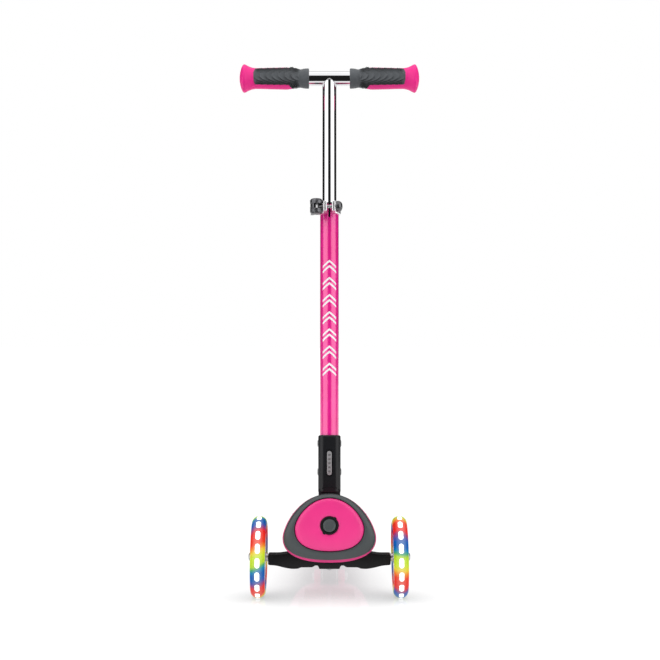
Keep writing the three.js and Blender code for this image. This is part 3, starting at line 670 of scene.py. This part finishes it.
def wheel_pair():
    glass = Shader("lit_window", (0.95, 0.97, 0.95), 0.25, Emission_Strength=0.9,
                   Emission_Color=(0.93, 1.0, 0.95, 1))
    glass.vary_color(glass.noise(120.0), (0.90, 0.94, 0.90), (1, 1, 0.98))
    for name, side, offset, drift in (("left", -1, 0.693, 5.3), ("right", 1, 0.631, 1.5)):
        place = wheel_frame(f"{name}_wheel_spin")
        body = f"{name}_wheel"
        centre = Vector(JOINTS[f"{name}_wheel_spin"]["pos_m"])
        glow = glow_material(f"{name}_light_tyre", centre, side, offset, drift)
        finish_piece(f"{name}_light_tyre", place, [tyre(FRONT_RADIUS, FRONT_WIDTH, FRONT_RIM)],
            body, [f"{name}_tyre"], glow)
        turns = [2 * pi * index / WINDOWS for index in range(WINDOWS)]
        windows = [lit_window(FRONT_RADIUS, FRONT_WIDTH / 2, turn) for turn in turns]
        finish_piece(f"{name}_tyre_windows", place, windows,
            body, [], glass.material)
        piece = finish_piece(f"{name}_wheel_core", place, [hub(FRONT_RIM, boss=10, half_rim=9, face=4)],
            body, [f"{name}_hub"], white_nylon)
        cutters = []
        near, outer = 18.5, 33.5
        for spoke in range(SPOKES):
            turn = pi / 2 + 2 * pi * spoke / SPOKES
            tip = [(near * cos(turn), near * sin(turn))]
            sweep = [turn + d for d in (-0.34, -0.12, 0.12, 0.34)]
            far = [(outer * cos(a), outer * sin(a)) for a in sweep]
            cutters.append(prism(fillet(tip + far, 3.5), -30, 30, "YZ"))
        carve(piece, place, *cutters)
        nut = [(4.3, 10.3), (6.3, 10.3), (6.3, 12.6), (5.7, 14.1), (4.2, 15.1), (2.2, 15.55), (0, 15.6),
               (0, 13.4), (4.3, 13.4)]
        nut = lathe([(r, side * x) for r, x in nut], 48, 0.5)
        finish_piece(f"{name}_dome_nut", place, [nut],
            "front_truck", [f"{name}_axle_nut"], spring_steel)
    place = wheel_frame("rear_wheel_spin")
    finish_piece("rear_wheel_tyre", place, [tyre(REAR_RADIUS, REAR_WIDTH, REAR_RIM)],
        "rear_wheel", ["rear_tyre"], rear_rubber)
    finish_piece("rear_wheel_core", place, [hub(REAR_RIM, boss=13, half_rim=9, face=4)],
        "rear_wheel", ["rear_hub"], white_nylon)


def bearings():
    """Shielded ball races: two steel rings and a recessed shield."""
    for name, wheel, middle in (
            ("left_inner", "left", 6.5), ("left_outer", "left", -6.5), ("right_inner", "right", -6.5),
            ("right_outer", "right", 6.5), ("rear_left", "rear", -9.5), ("rear_right", "rear", 9.5)):
        near, far = middle - BEARING_HALF, middle + BEARING_HALF
        shield = 0.4
        race = [(4.3, near), (6, near), (6, near + shield, 0), (9, near + shield, 0), (9, near),
                (11, near), (11, far), (9, far), (9, far - shield, 0), (6, far - shield, 0),
                (6, far), (4.3, far)]
        race = lathe(race, 56, 0.3)
        finish_piece(f"{name}_race", wheel_frame(f"{wheel}_wheel_spin"), [race],
            f"{wheel}_wheel", [f"{name}_bearing"], clear_steel)


# ---- Deck and rear ----
DECK_BOTTOM, DECK_TOP = 46, 68
FORK_SLOT, FORK_OUTER = 15.5, 27
REAR_AXLE_Y, REAR_AXLE_Z = 430, 40
BRAKE_PIN_Y, BRAKE_PIN_Z = 385, 62
PAD_FRONT, PAD_BACK = 122, 368
TREAD_PITCH = 7


def deck_outline():
    half = [(48, 26)] + bezier((48, 26), (58, 31), (64, 60), (65, 110), 10)[1:]
    half += bezier((65, 110), (65, 240), (56, 320), (46, 362), 16)
    half += bezier((46, 362), (42, 378), (36, 388), (27, 396), 8) + [(27, 396), (27, 442)]
    return half + mirror(half)


def pad_outline(grow=0.0):
    front, back = PAD_FRONT - grow, PAD_BACK + grow
    wide, narrow, tail = 55.5 + grow, 39 + grow, 22 + grow
    half = [(0, front), (20, front)]
    half += bezier((40 + grow, front), (50, front), (wide, front + 7), (wide, front + 18), 8)
    half += bezier((wide, front + 18), (55 + grow, 245), (48 + grow, 315), (narrow, back - 16), 16)
    half += bezier((narrow, back - 16), (36, back - 5), (31, back), (tail, back), 8) + [(tail, back)]
    return half + mirror(half[1:])


def pad_half_width(y):
    """Half the pad's width at a distance from the front axle."""
    outline = pad_outline()
    widest = 0.0
    for (x0, y0), (x1, y1) in zip(outline, outline[1:]):
        if x0 >= 0 and min(y0, y1) <= y <= max(y0, y1) and y1 != y0:
            widest = max(widest, x0 + (x1 - x0) * (y - y0) / (y1 - y0))
    return widest


TREAD_SECTION = ((-1, 69.4), (-0.55, 70.28), (0.55, 70.28), (1, 69.4))


def tread_bar(y, half):
    """One shallow wave-shaped rib across the pad."""
    rings = []
    count = max(8, int(half / 1.5))
    for step in range(count + 1):
        x = -half + 2 * half * step / count
        wave = 5.5 * cos(x * 0.11)
        ends = sqrt(max(0.04, 1 - (abs(x) / (half + 0.01)) ** 16))
        rings.append([(x, y + wave + side * 1.5 * ends, z) for side, z in TREAD_SECTION])
    return loft(rings)


def deck():
    board = slab(deck_outline(), DECK_BOTTOM, DECK_TOP, 3.2, "XY", 5)
    piece = finish_piece("deck_shell", FRONT, [board],
        "deck", ["deck_board"], pink_plastic)
    cutters = [
        prism(pad_outline(0.5), 66, 80, "XY"),
        block(-FORK_SLOT, FORK_SLOT, 376, 500, 0, 100),
    ]
    wedge = [(397.5, 90), (397.5, 67.9), (404, 62), (442, 54), (470, 54), (470, 90)]
    cutters.append(prism(wedge, -60, 60, "YZ"))
    for front, back, outer in ((122, 228, 50), (234, 340, 42)):
        for side in (-1, 1):
            low, high = sorted((side * 3, side * outer))
            cutters.append(block(low, high, front, back, 40, 60))
    for x, y in ((-38, 48), (38, 48), (-42, 92), (42, 92)):
        cutters.append(lathe(rectangle(0, 5.3, 40, 50), 32, 0, "Z", (x, y, 0)))
    carve(piece, FRONT, *cutters)
    lugs = []
    for side in (-1, 1):
        low, high = sorted((side * FORK_SLOT, side * FORK_OUTER))
        profile = rectangle(4.3, 13, low, high)
        lugs.append(lathe(profile, 64, 1.2, "X", (0, REAR_AXLE_Y, REAR_AXLE_Z)))
    finish_piece("fork_lugs", FRONT, lugs, "deck", ["deck_board"], pink_plastic)
    pad = slab(pad_outline(), 66.3, 69.7, 0.6)
    bars = []
    for y in range(PAD_FRONT + 11, PAD_BACK - 8, TREAD_PITCH):
        half = pad_half_width(y) - 6
        if half > 12:
            bars.append(tread_bar(y, half))
    finish_piece("standing_pad", FRONT, [pad, *bars], "deck", ["deck_pad"], pad_rubber)


def around_axle(x, reach, turn):
    """A point at a distance from the rear axle."""
    return x, REAR_AXLE_Y + reach * cos(turn), REAR_AXLE_Z + reach * sin(turn)


def fender():
    middle = 48.3

    def shell(start, end, half, steps):
        """The fender's skin between two angles, thinned at both ends."""
        section = [(-half, 46.8), (half, 46.8), (half, 49), (half - 7, 49.9), (7 - half, 49.9),
                   (-half, 49)]
        section = fillet(section, 1.4, steps=3)
        rings = []
        for step in range(steps + 1):
            turn = radians(start + (end - start) * step / steps)
            near = min(step, steps - step) / 2
            thin = 1.0 if near >= 1 else 0.45 + 0.55 * sqrt(near)
            rings.append([around_axle(x, middle + (r - middle) * thin, turn) for x, r in section])
        return loft(rings)

    parts = [shell(22, 132, 22, 48), shell(120, 152, 14.3, 16)]
    for x in (-9, -3, 3, 9):
        grip_rib = []
        for step in range(21):
            turn = radians(48 + 54 * step / 20)
            rise = 0.5 * sqrt(max(0.0, 1 - (2 * step / 20 - 1) ** 8))
            section = ((-1.2, 0), (1.2, 0), (0.8, 0.15 + rise), (-0.8, 0.15 + rise))
            grip_rib.append([around_axle(x + a, 49.3 + h, turn) for a, h in section])
        parts.append(loft(grip_rib))
    bridge = fillet([(385, 64.5), (390.4, 62), (391.4, 70), (385.4, 68)], 0.8)
    for low, high in ((-14.3, -5.6), (5.6, 14.3)):
        eye = rectangle(3.3, 6, low, high)
        parts.append(lathe(eye, 32, 0.6, "X", (0, BRAKE_PIN_Y, BRAKE_PIN_Z)))
        parts.append(slab(bridge, low, high, 0.5, "YZ"))
    finish_piece("fender_brake", FRONT, parts,
        "brake", ["brake_fender"], black_plastic)


# ---- Folding bar ----
COLLAR_HALF_X, COLLAR_HALF_Y = 17, 19
COLLAR_LOW, COLLAR_HIGH = 34, 121
RIVETS = (66, 109)
BADGE_Z = 78.6
TUBE_INNER, TUBE_OUTER = 12.6, 14.3
TUBE_LOW, TUBE_HIGH = 30, 477
CHEVRONS, CHEVRON_PITCH = 7, 26.4
CHEVRON_LOW = 220
UPRIGHT_LOW = 384
UPRIGHT_OUTER, CROSSBAR_OUTER, BAR_INNER = 10.8, 11.3, 9.3
CROSSBAR_HALF = 135
CLAMP_LOW = 462.3
CLAMP_HIGH = 478.3
CLAMP_MIDDLE = (CLAMP_LOW + CLAMP_HIGH) / 2
CLAMP_INNER, CLAMP_OUTER = 14.6, 17.6
EAR_INNER, EAR_OUTER, EAR_END = 3.9, 9.4, -32.5
BOLT_Y = -25.5
LEVER_X = -20
CROSS = 679.6


def rounded_box(half_a, half_b, radius):
    points = []
    for a, b, start in ((1, 1, 0), (-1, 1, 90), (-1, -1, 180), (1, -1, 270)):
        points += arc((a * (half_a - radius), b * (half_b - radius)), radius, start, start + 90, 10)
    return points


def bar_collar():
    body = slab(rounded_box(COLLAR_HALF_X, COLLAR_HALF_Y, 9), COLLAR_LOW, COLLAR_HIGH, 3, "XY", 6)
    piece = finish_piece("collar_sleeve", BAR, [body],
        "lower_bar", ["collar"], satin_black)
    pocket = prism(capsule(5.3, 20.8, BADGE_Z), -30, -17.2, "XZ")
    carve(piece, BAR, pocket, lathe(rectangle(0, 14.5, 36, 130), 72, 0, "Z"))
    tongue = arc((0, 0), COLLAR_HALF_X, 180, 360, 20) + [(COLLAR_HALF_X, 40), (-COLLAR_HALF_X, 40)]
    extras = [slab(tongue, -16.4, 16.4, 1.2, "YZ")]
    for height in RIVETS:
        boss = fillet(rectangle(-7, 7, height - 5.2, height + 5.2), 2)
        extras.append(slab(boss, 14, 17.7, 0.6, "YZ"))
        extras.append(slab(boss, -17.7, -14, 0.6, "YZ"))
    lip = []
    for step in range(25):
        x = -11 + 22 * step / 24
        z = 43.5 - 2.5 * (x / 11) ** 2
        lip.append([(x, -18.4, z - 0.9), (x, -19.35, z - 0.5), (x, -19.35, z + 0.5), (x, -18.4, z + 0.9)])
    extras.append(loft(lip))
    finish_piece("collar_details", BAR, extras,
        "lower_bar", ["collar"], satin_black)

    plate = slab(capsule(3.6, 18.2, BADGE_Z), -18.7, -17.4, 0.4, "XZ")
    finish_piece("badge_plate", BAR, [plate],
        "lower_bar", ["collar_badge"], badge_grey)
    ribs = []
    for index in range(5):
        z = BADGE_Z + (index - 2) * 6.2
        mark = fillet(rectangle(-1.9, 1.9, z - 1.5, z + 1.5), 1.1)
        ribs.append(slab(mark, -18.95, -18.5, 0.15, "XZ"))
    finish_piece("badge_ribs", BAR, ribs, "lower_bar", [], badge_mark)
    for index, height in enumerate(RIVETS):
        heads = []
        for side in (-1, 1):
            head = [(0, 17.3), (4.3, 17.3), (3.9, 17.9), (2.6, 18.1), (2.2, 17.9), (0, 17.9)]
            heads.append(lathe([(r, side * x) for r, x in head], 40, 0.3, "X", (0, 0, height)))
        heads.append(lathe(rectangle(0, 2.5, -17.3, 17.3), 24, 0, "X", (0, 0, height)))
        finish_piece(f"rivet_heads_{index + 1}", BAR, heads,
            "lower_bar", [f"collar_rivet_{index + 1}"], black_plastic)


def chevron_band(peak):
    """A chevron stroke wrapped round the tube's front."""
    drop, half, stroke = 9.0, 11.2, 3.5
    rings = []
    count = 28
    under, over = TUBE_OUTER - 0.2, TUBE_OUTER + 0.12
    for step in range(count + 1):
        u = -half + 2 * half * step / count
        z = peak - drop * abs(u) / half
        turn = u / TUBE_OUTER
        rings.append([(reach * sin(turn), -reach * cos(turn), z + side * stroke / 2)
                      for reach, side in ((under, -1), (over, -1), (over, 1), (under, 1))])
    return loft(rings)


def bar_tubes():
    tube = lathe(rectangle(TUBE_INNER, TUBE_OUTER, TUBE_LOW, TUBE_HIGH), 96, 0.4, "Z")
    piece = finish_piece("painted_tube", BAR, [tube],
        "lower_bar", ["lower_tube"], pink_paint)
    slit = fillet([(-1.5, 456), (1.5, 456), (1.5, 500, 0), (-1.5, 500, 0)], 1.4)
    carve(piece, BAR, prism(slit, -20, 0, "XZ"))
    marks = []
    for index in range(CHEVRONS):
        centre = CHEVRON_LOW + CHEVRON_PITCH * index
        marks.append(chevron_band(centre + 9.2))
        marks.append(chevron_band(centre + 1.2))
    finish_piece("tube_chevrons", BAR, marks, "lower_bar", [], white_print)
    flange = TUBE_HIGH + 0.4
    top = flange + 2.2
    bush = [(11.4, 436), (12.3, 436), (12.3, flange, 0), (14.1, flange), (14.1, top), (11.4, top)]
    bush = lathe(bush, 80, 0.5, "Z")
    finish_piece("sliding_bush", BAR, [bush],
        "lower_bar", ["guide_bush"], black_plastic)

    upright = [(BAR_INNER, UPRIGHT_LOW), (UPRIGHT_OUTER, UPRIGHT_LOW), (UPRIGHT_OUTER, CROSS, 0),
               (BAR_INNER, CROSS, 0)]
    upright = lathe(upright, 96, 0.4, "Z")
    cross = rectangle(BAR_INNER, CROSSBAR_OUTER, -CROSSBAR_HALF, CROSSBAR_HALF)
    cross = lathe(cross, 96, 0.4, "X", (0, 0, CROSS))
    weld = []
    for step in range(96):
        turn = 2 * pi * step / 96
        dip = sqrt(CROSSBAR_OUTER ** 2 - (UPRIGHT_OUTER * sin(turn)) ** 2)
        base = CROSS - dip
        out = Vector((cos(turn), sin(turn)))
        bead = 0.6 + 0.12 * sin(step * 3.0)
        ring = []
        for part in range(10):
            angle = 2 * pi * part / 10
            reach = UPRIGHT_OUTER + bead * cos(angle)
            ring.append((out.x * reach, out.y * reach, base + bead * sin(angle)))
        weld.append(ring)
    finish_piece("chromed_bar", BAR, [upright, cross, loft(weld, closed=True)],
        "upper_bar", ["handlebar"], chrome)


def clamp():
    ear = [(EAR_INNER, -14.2, 0), (EAR_INNER, EAR_END), (EAR_OUTER, EAR_END), (EAR_OUTER, -14.9, 0)]
    right_ear = fillet(ear, 1.6, closed=False)[1:-1]
    outline = arc((0, 0), CLAMP_OUTER, -57.7, 237.7, 60) + mirror(right_ear)
    outline += arc((0, 0), CLAMP_INNER, 254.5, -74.5, 60) + right_ear
    piece = finish_piece("seat_clamp", BAR, [slab(outline, CLAMP_LOW, CLAMP_HIGH, 0.9, "XY", 4)],
        "lower_bar", ["clamp_band"], polished_alloy)
    bolt_place = (0, BOLT_Y, CLAMP_MIDDLE)
    carve(piece, BAR, lathe(rectangle(0, 3.3, -30, 30), 32, 0, "X", bolt_place))
    thread = [(2.9 if step % 2 else 2.45, -17 + 0.5 * step, 0) for step in range(71)]
    thread = [(0, -17)] + thread + [(0, 18)]
    finish_piece("clamp_screw", BAR, [lathe(thread, 32, 0, "X", bolt_place)],
        "lower_bar", ["clamp_bolt"], clear_steel)
    nut = [(3.3, 9.7), (7.6, 9.7, 0.3), (8.1, 10.2, 0.3), (8.1, 11.2, 0.3), (8.6, 11.6, 0.3), (8.5, 15),
           (6.8, 18.2), (3.8, 19.8), (0, 20.2), (0, 18.4), (3.3, 18.4)]
    nut = lathe(nut, 64, 1.2, "X", bolt_place)
    finish_piece("thumb_nut", BAR, [nut], "lower_bar", ["clamp_nut"], nut_grey)


def lever():
    half, mid = 11.7, CLAMP_MIDDLE
    profile = [(0, -half), (7.8, -half), (9.6, -half + 2.2), (9.6, -3.9), (8.9, -3.3, 0), (8.9, 3.3, 0),
               (9.6, 3.9), (9.6, half - 2.2), (7.8, half), (0, half)]
    barrel = lathe(profile, 64, 1.2, "Z", (LEVER_X, BOLT_Y, mid))
    piece = finish_piece("lever_barrel", BAR, [barrel],
        "clamp_lever", ["clamp_lever"], lever_alloy)
    carve(piece, BAR,
          block(LEVER_X - 3.8, 0, BOLT_Y - 20, BOLT_Y + 3.8, mid - 3.5, mid + 3.5),
          lathe(rectangle(0, 2.8, -30, 30), 32, 0, "Z", (LEVER_X, BOLT_Y, mid)))
    root = BOLT_Y + 2
    arm = bezier((-21.3, root), (-21, -4), (-20.5, 8), (-22, 20), 14)
    arm += bezier((-22, 20), (-22.7, 26), (-24, 30), (-26, 34), 6) + [(-26, 34), (-29, 33)]
    arm += bezier((-29, 33), (-25.5, 16), (-27, 0), (-29.3, root), 14) + [(-29.3, root)]
    blade = slab(arm[::-1], mid - 1.5, mid + 9.6, 1.1, "XY", 4)
    finish_piece("lever_arm", BAR, [blade],
        "clamp_lever", ["clamp_lever"], lever_alloy)
    pin = lathe(rectangle(0, 2.5, -half + 0.6, half - 0.6), 32, 0.4, "Z", (LEVER_X, BOLT_Y, mid))
    finish_piece("lever_axle", BAR, [pin], "lower_bar", ["lever_pin"], polished_alloy)


# ---- Grips ----
def spread(points, x):
    """Height of a polyline of (x, height) points, smoothed by its own spacing."""
    if x <= points[0][0]:
        return points[0][1]
    for (x0, y0), (x1, y1) in zip(points, points[1:]):
        if x <= x1:
            t = (x - x0) / (x1 - x0)
            return y0 + (y1 - y0) * t * t * (3 - 2 * t)
    return points[-1][1]


GRIP_BORE = 11.5
PANEL_BORE = 12.7
PANEL_NEAR, PANEL_FAR = 32.0, 119.4
PANEL_POINTS = 240
# Radius of the grip's body along its length, and half the angle of the grey panel at its far end.
SLEEVE = [(PANEL_NEAR, 15.2), (33.5, 15.8), (37, 15.6), (45.5, 14), (52, 14.6), (60, 16.6), (66, 17.5),
          (90, 17), (106, 16.5), (122, 16.3)]
WRAP = 50
RIDGE_PITCH, RIDGE_HEIGHT = 9.8, 1.75
RIDGE_NEAR, RIDGE_FAR = 46, 118


def panel_reach(x):
    """Half the angle in degrees that the grey panel covers at a distance along the grip."""
    opened = min(1.0, max(0.0, (64 - x) / 15))
    return WRAP + (190 - WRAP) * opened ** 1.4


def ridge(x, turn):
    """Saw-toothed wave ridges, nested arrowheads that point to the grip's outer end."""
    phase = x + 45 * (min(abs(turn), 75) / WRAP) ** 2.3
    step = (phase - 41.5) / RIDGE_PITCH
    within = step % 1
    crest = 0.84
    rise = within / crest if within < crest else (1 - within) / (1 - crest)
    fade = min(1.0, max(0.0, (RIDGE_FAR - x) / 6), max(0.0, (x - RIDGE_NEAR) / 5))
    if abs(turn) > 75:
        fade *= max(0.0, 1 - (abs(turn) - 75) / 60)
    return RIDGE_HEIGHT * rise ** 2 * fade


def panel_skin(side):
    """The grey panel with its cuff; where it ends it dips below the pink sleeve."""
    turns = [-180 + 360 * index / PANEL_POINTS for index in range(PANEL_POINTS)]

    def ring(x, reaches):
        angles = [radians(turn) for turn in turns]
        return [(side * x, -reach * cos(angle), CROSS + reach * sin(angle))
                for angle, reach in zip(angles, reaches)]

    rings = []
    x = PANEL_NEAR
    while x <= PANEL_FAR + 0.4:
        base = spread(SLEEVE, x)
        reaches = []
        for turn in turns:
            end = PANEL_FAR - 3.2 * (abs(turn) / WRAP) ** 2
            inside = min(panel_reach(x) - abs(turn), (end - x) * 4.0)
            depth = min(1.0, max(0.0, (inside + 2.0) / 4.0))
            depth = depth * depth * (3 - 2 * depth)
            reaches.append(base if x < 40 else base - 1.5 + depth * (1.75 + ridge(x, turn)))
        rings.append(ring(x, reaches))
        x += 0.64
    for x in (PANEL_FAR, PANEL_NEAR):
        rings.append(ring(x, [PANEL_BORE] * PANEL_POINTS))
    return loft(rings, closed=True)


def grips():
    for name, side in (("left", -1), ("right", 1)):
        profile = [(GRIP_BORE, 32.3), (12.4, 32.3), (12.4, 46)]
        profile += [(spread(SLEEVE, x) - 0.25, x) for x in range(50, 119, 3)]
        profile += [(17.3, 122.4), (19.2, 127), (21.6, 131.2), (22.3, 133.8), (20.6, 135.8), (17, 137.6),
                    (11, 139.4), (5, 140.4), (0, 140.6), (0, 136), (GRIP_BORE, 136)]
        body = lathe([(r, side * s) for r, s in profile], 96, 1.2, "X", (0, 0, CROSS))
        finish_piece(f"{name}_grip_body", BAR, [body],
            "upper_bar", [f"{name}_grip"], pink_rubber, 50)
        finish_piece(f"{name}_grip_pad", BAR, [panel_skin(side)],
            "upper_bar", [f"{name}_grip_panel"], grey_rubber, 40)


front_module()
front_truck()
wheel_pair()
bearings()
deck()
fender()
bar_collar()
bar_tubes()
clamp()
lever()
grips()


# ---- CAD nodes that show as they are ----
STEEL_PARTS = ("housing_screw_1", "housing_screw_2", "housing_screw_3", "housing_screw_4",
               "fold_pin", "brake_pin", "kingpin", "kingpin_nut", "rear_axle_bolt", "rear_axle_nut",
               "left_axle_bolt", "right_axle_bolt", "left_light_magnet", "right_light_magnet")
SPRINGS = ("button_spring", "steering_spring", "brake_spring")
BUMPERS = ("left_bumper", "right_bumper")
for names, material in ((STEEL_PARTS, clear_steel), (SPRINGS, spring_steel), (BUMPERS, pad_rubber)):
    for name in names:
        for place in frame["nodes"][name].material_slots:
            place.material = material


# ---- Studio, in metres ----
FLOOR_REACH = 30
FLOOR_AHEAD = 0.55
BOX_LIGHT = 1.85
CEILING_SHARE = 0.65
BACK_LIGHT = 0.1
ROOM_LIGHT = 0.015
CAMERA_X, CAMERA_Z = 0.0009, 0.3986
CAMERA_AWAY = 2.2
LENS, SENSOR = 80.54, 36


def studio_floor():
    """A pale self-lit floor, evenly bright, with a painted shadow where the scooter is near it."""
    shader = Shader("studio_floor", (0.06, 0.06, 0.06), 0.06, Specular_IOR_Level=0.015,
                    Emission_Strength=1.0)
    shader.vary_roughness(shader.noise(0.8), 0.05, 0.07)
    # Painted shadow: ambient occlusion darkens the floor's emission under and near the scooter.
    hidden = shader.node("ShaderNodeAmbientOcclusion", samples=12, Distance=0.11)
    painted_deck_shadow = shader.ramp(hidden.outputs["AO"], [(0.0, (0.42, 0.42, 0.43)), (0.9, (1, 1, 1))])
    shader.link(painted_deck_shadow, shader.main.inputs["Emission Color"])
    mesh = bpy.data.meshes.new("studio_floor")
    far, near = FLOOR_REACH, AXLE_Y - FLOOR_AHEAD
    corners = [(-far, near, 0), (far, near, 0), (far, far, 0), (-far, far, 0)]
    mesh.from_pydata(corners, [], [(0, 1, 2, 3)])
    floor = add_object("studio_floor", mesh)
    mesh.materials.append(shader.material)


def studio_world():
    """Soft boxes either side of the front, a dark gap between them and dim walls behind."""
    world = bpy.data.worlds.new("studio")
    world.use_nodes = True
    SCENE.world = world
    tree = world.node_tree
    tree.nodes.clear()

    node = partial(add_node, tree)
    math_node = partial(add_math, tree)
    place = node("ShaderNodeTexCoord").outputs["Generated"]
    parts = node("ShaderNodeSeparateXYZ")
    tree.links.new(place, parts.inputs[0])
    across, away, up = parts.outputs

    def soft_step(value, low, high):
        made = node("ShaderNodeMapRange", interpolation_type="SMOOTHSTEP",
                    **{"From Min": low, "From Max": high})
        tree.links.new(value, made.inputs["Value"])
        return made.outputs["Result"]

    # Azimuth from straight ahead of the scooter, in degrees, the same to either side.
    bearing_angle = math_node("ARCTAN2", math_node("ABSOLUTE", across), math_node("MULTIPLY", away, -1.0))
    azimuth = math_node("MULTIPLY", bearing_angle, 180 / pi)
    before_end = math_node("SUBTRACT", 1.0, soft_step(azimuth, 78, 92))
    boxes = math_node("MULTIPLY", soft_step(azimuth, 20, 27), before_end)
    boxes = math_node("MULTIPLY", boxes, soft_step(up, -0.35, -0.2))
    ceiling = math_node("MULTIPLY", soft_step(up, 0.60, 0.72), CEILING_SHARE)
    light = math_node("MULTIPLY", math_node("MAXIMUM", boxes, ceiling), BOX_LIGHT)
    light = math_node("ADD", light, ROOM_LIGHT)
    back = math_node("MULTIPLY", soft_step(azimuth, 130, 170), BACK_LIGHT)
    light = math_node("ADD", light, back)
    # The backdrop itself is plain white.
    camera = node("ShaderNodeLightPath").outputs["Is Camera Ray"]
    unseen = math_node("MULTIPLY", math_node("SUBTRACT", 1.0, camera), light)
    seen = math_node("ADD", camera, unseen)
    background = node("ShaderNodeBackground", Color=(1, 1, 1, 1))
    tree.links.new(seen, background.inputs["Strength"])
    out = node("ShaderNodeOutputWorld")
    tree.links.new(background.outputs[0], out.inputs["Surface"])


def studio_camera():
    data = bpy.data.cameras.new("camera")
    data.lens = LENS
    data.sensor_width = SENSOR
    data.clip_end = 100
    camera = add_object("camera", data)
    camera.location = (CAMERA_X, AXLE_Y - CAMERA_AWAY, CAMERA_Z)
    camera.rotation_euler = (pi / 2, 0, 0)
    SCENE.camera = camera


studio_floor()
studio_world()
studio_camera()
SCENE.view_settings.view_transform = "Standard"
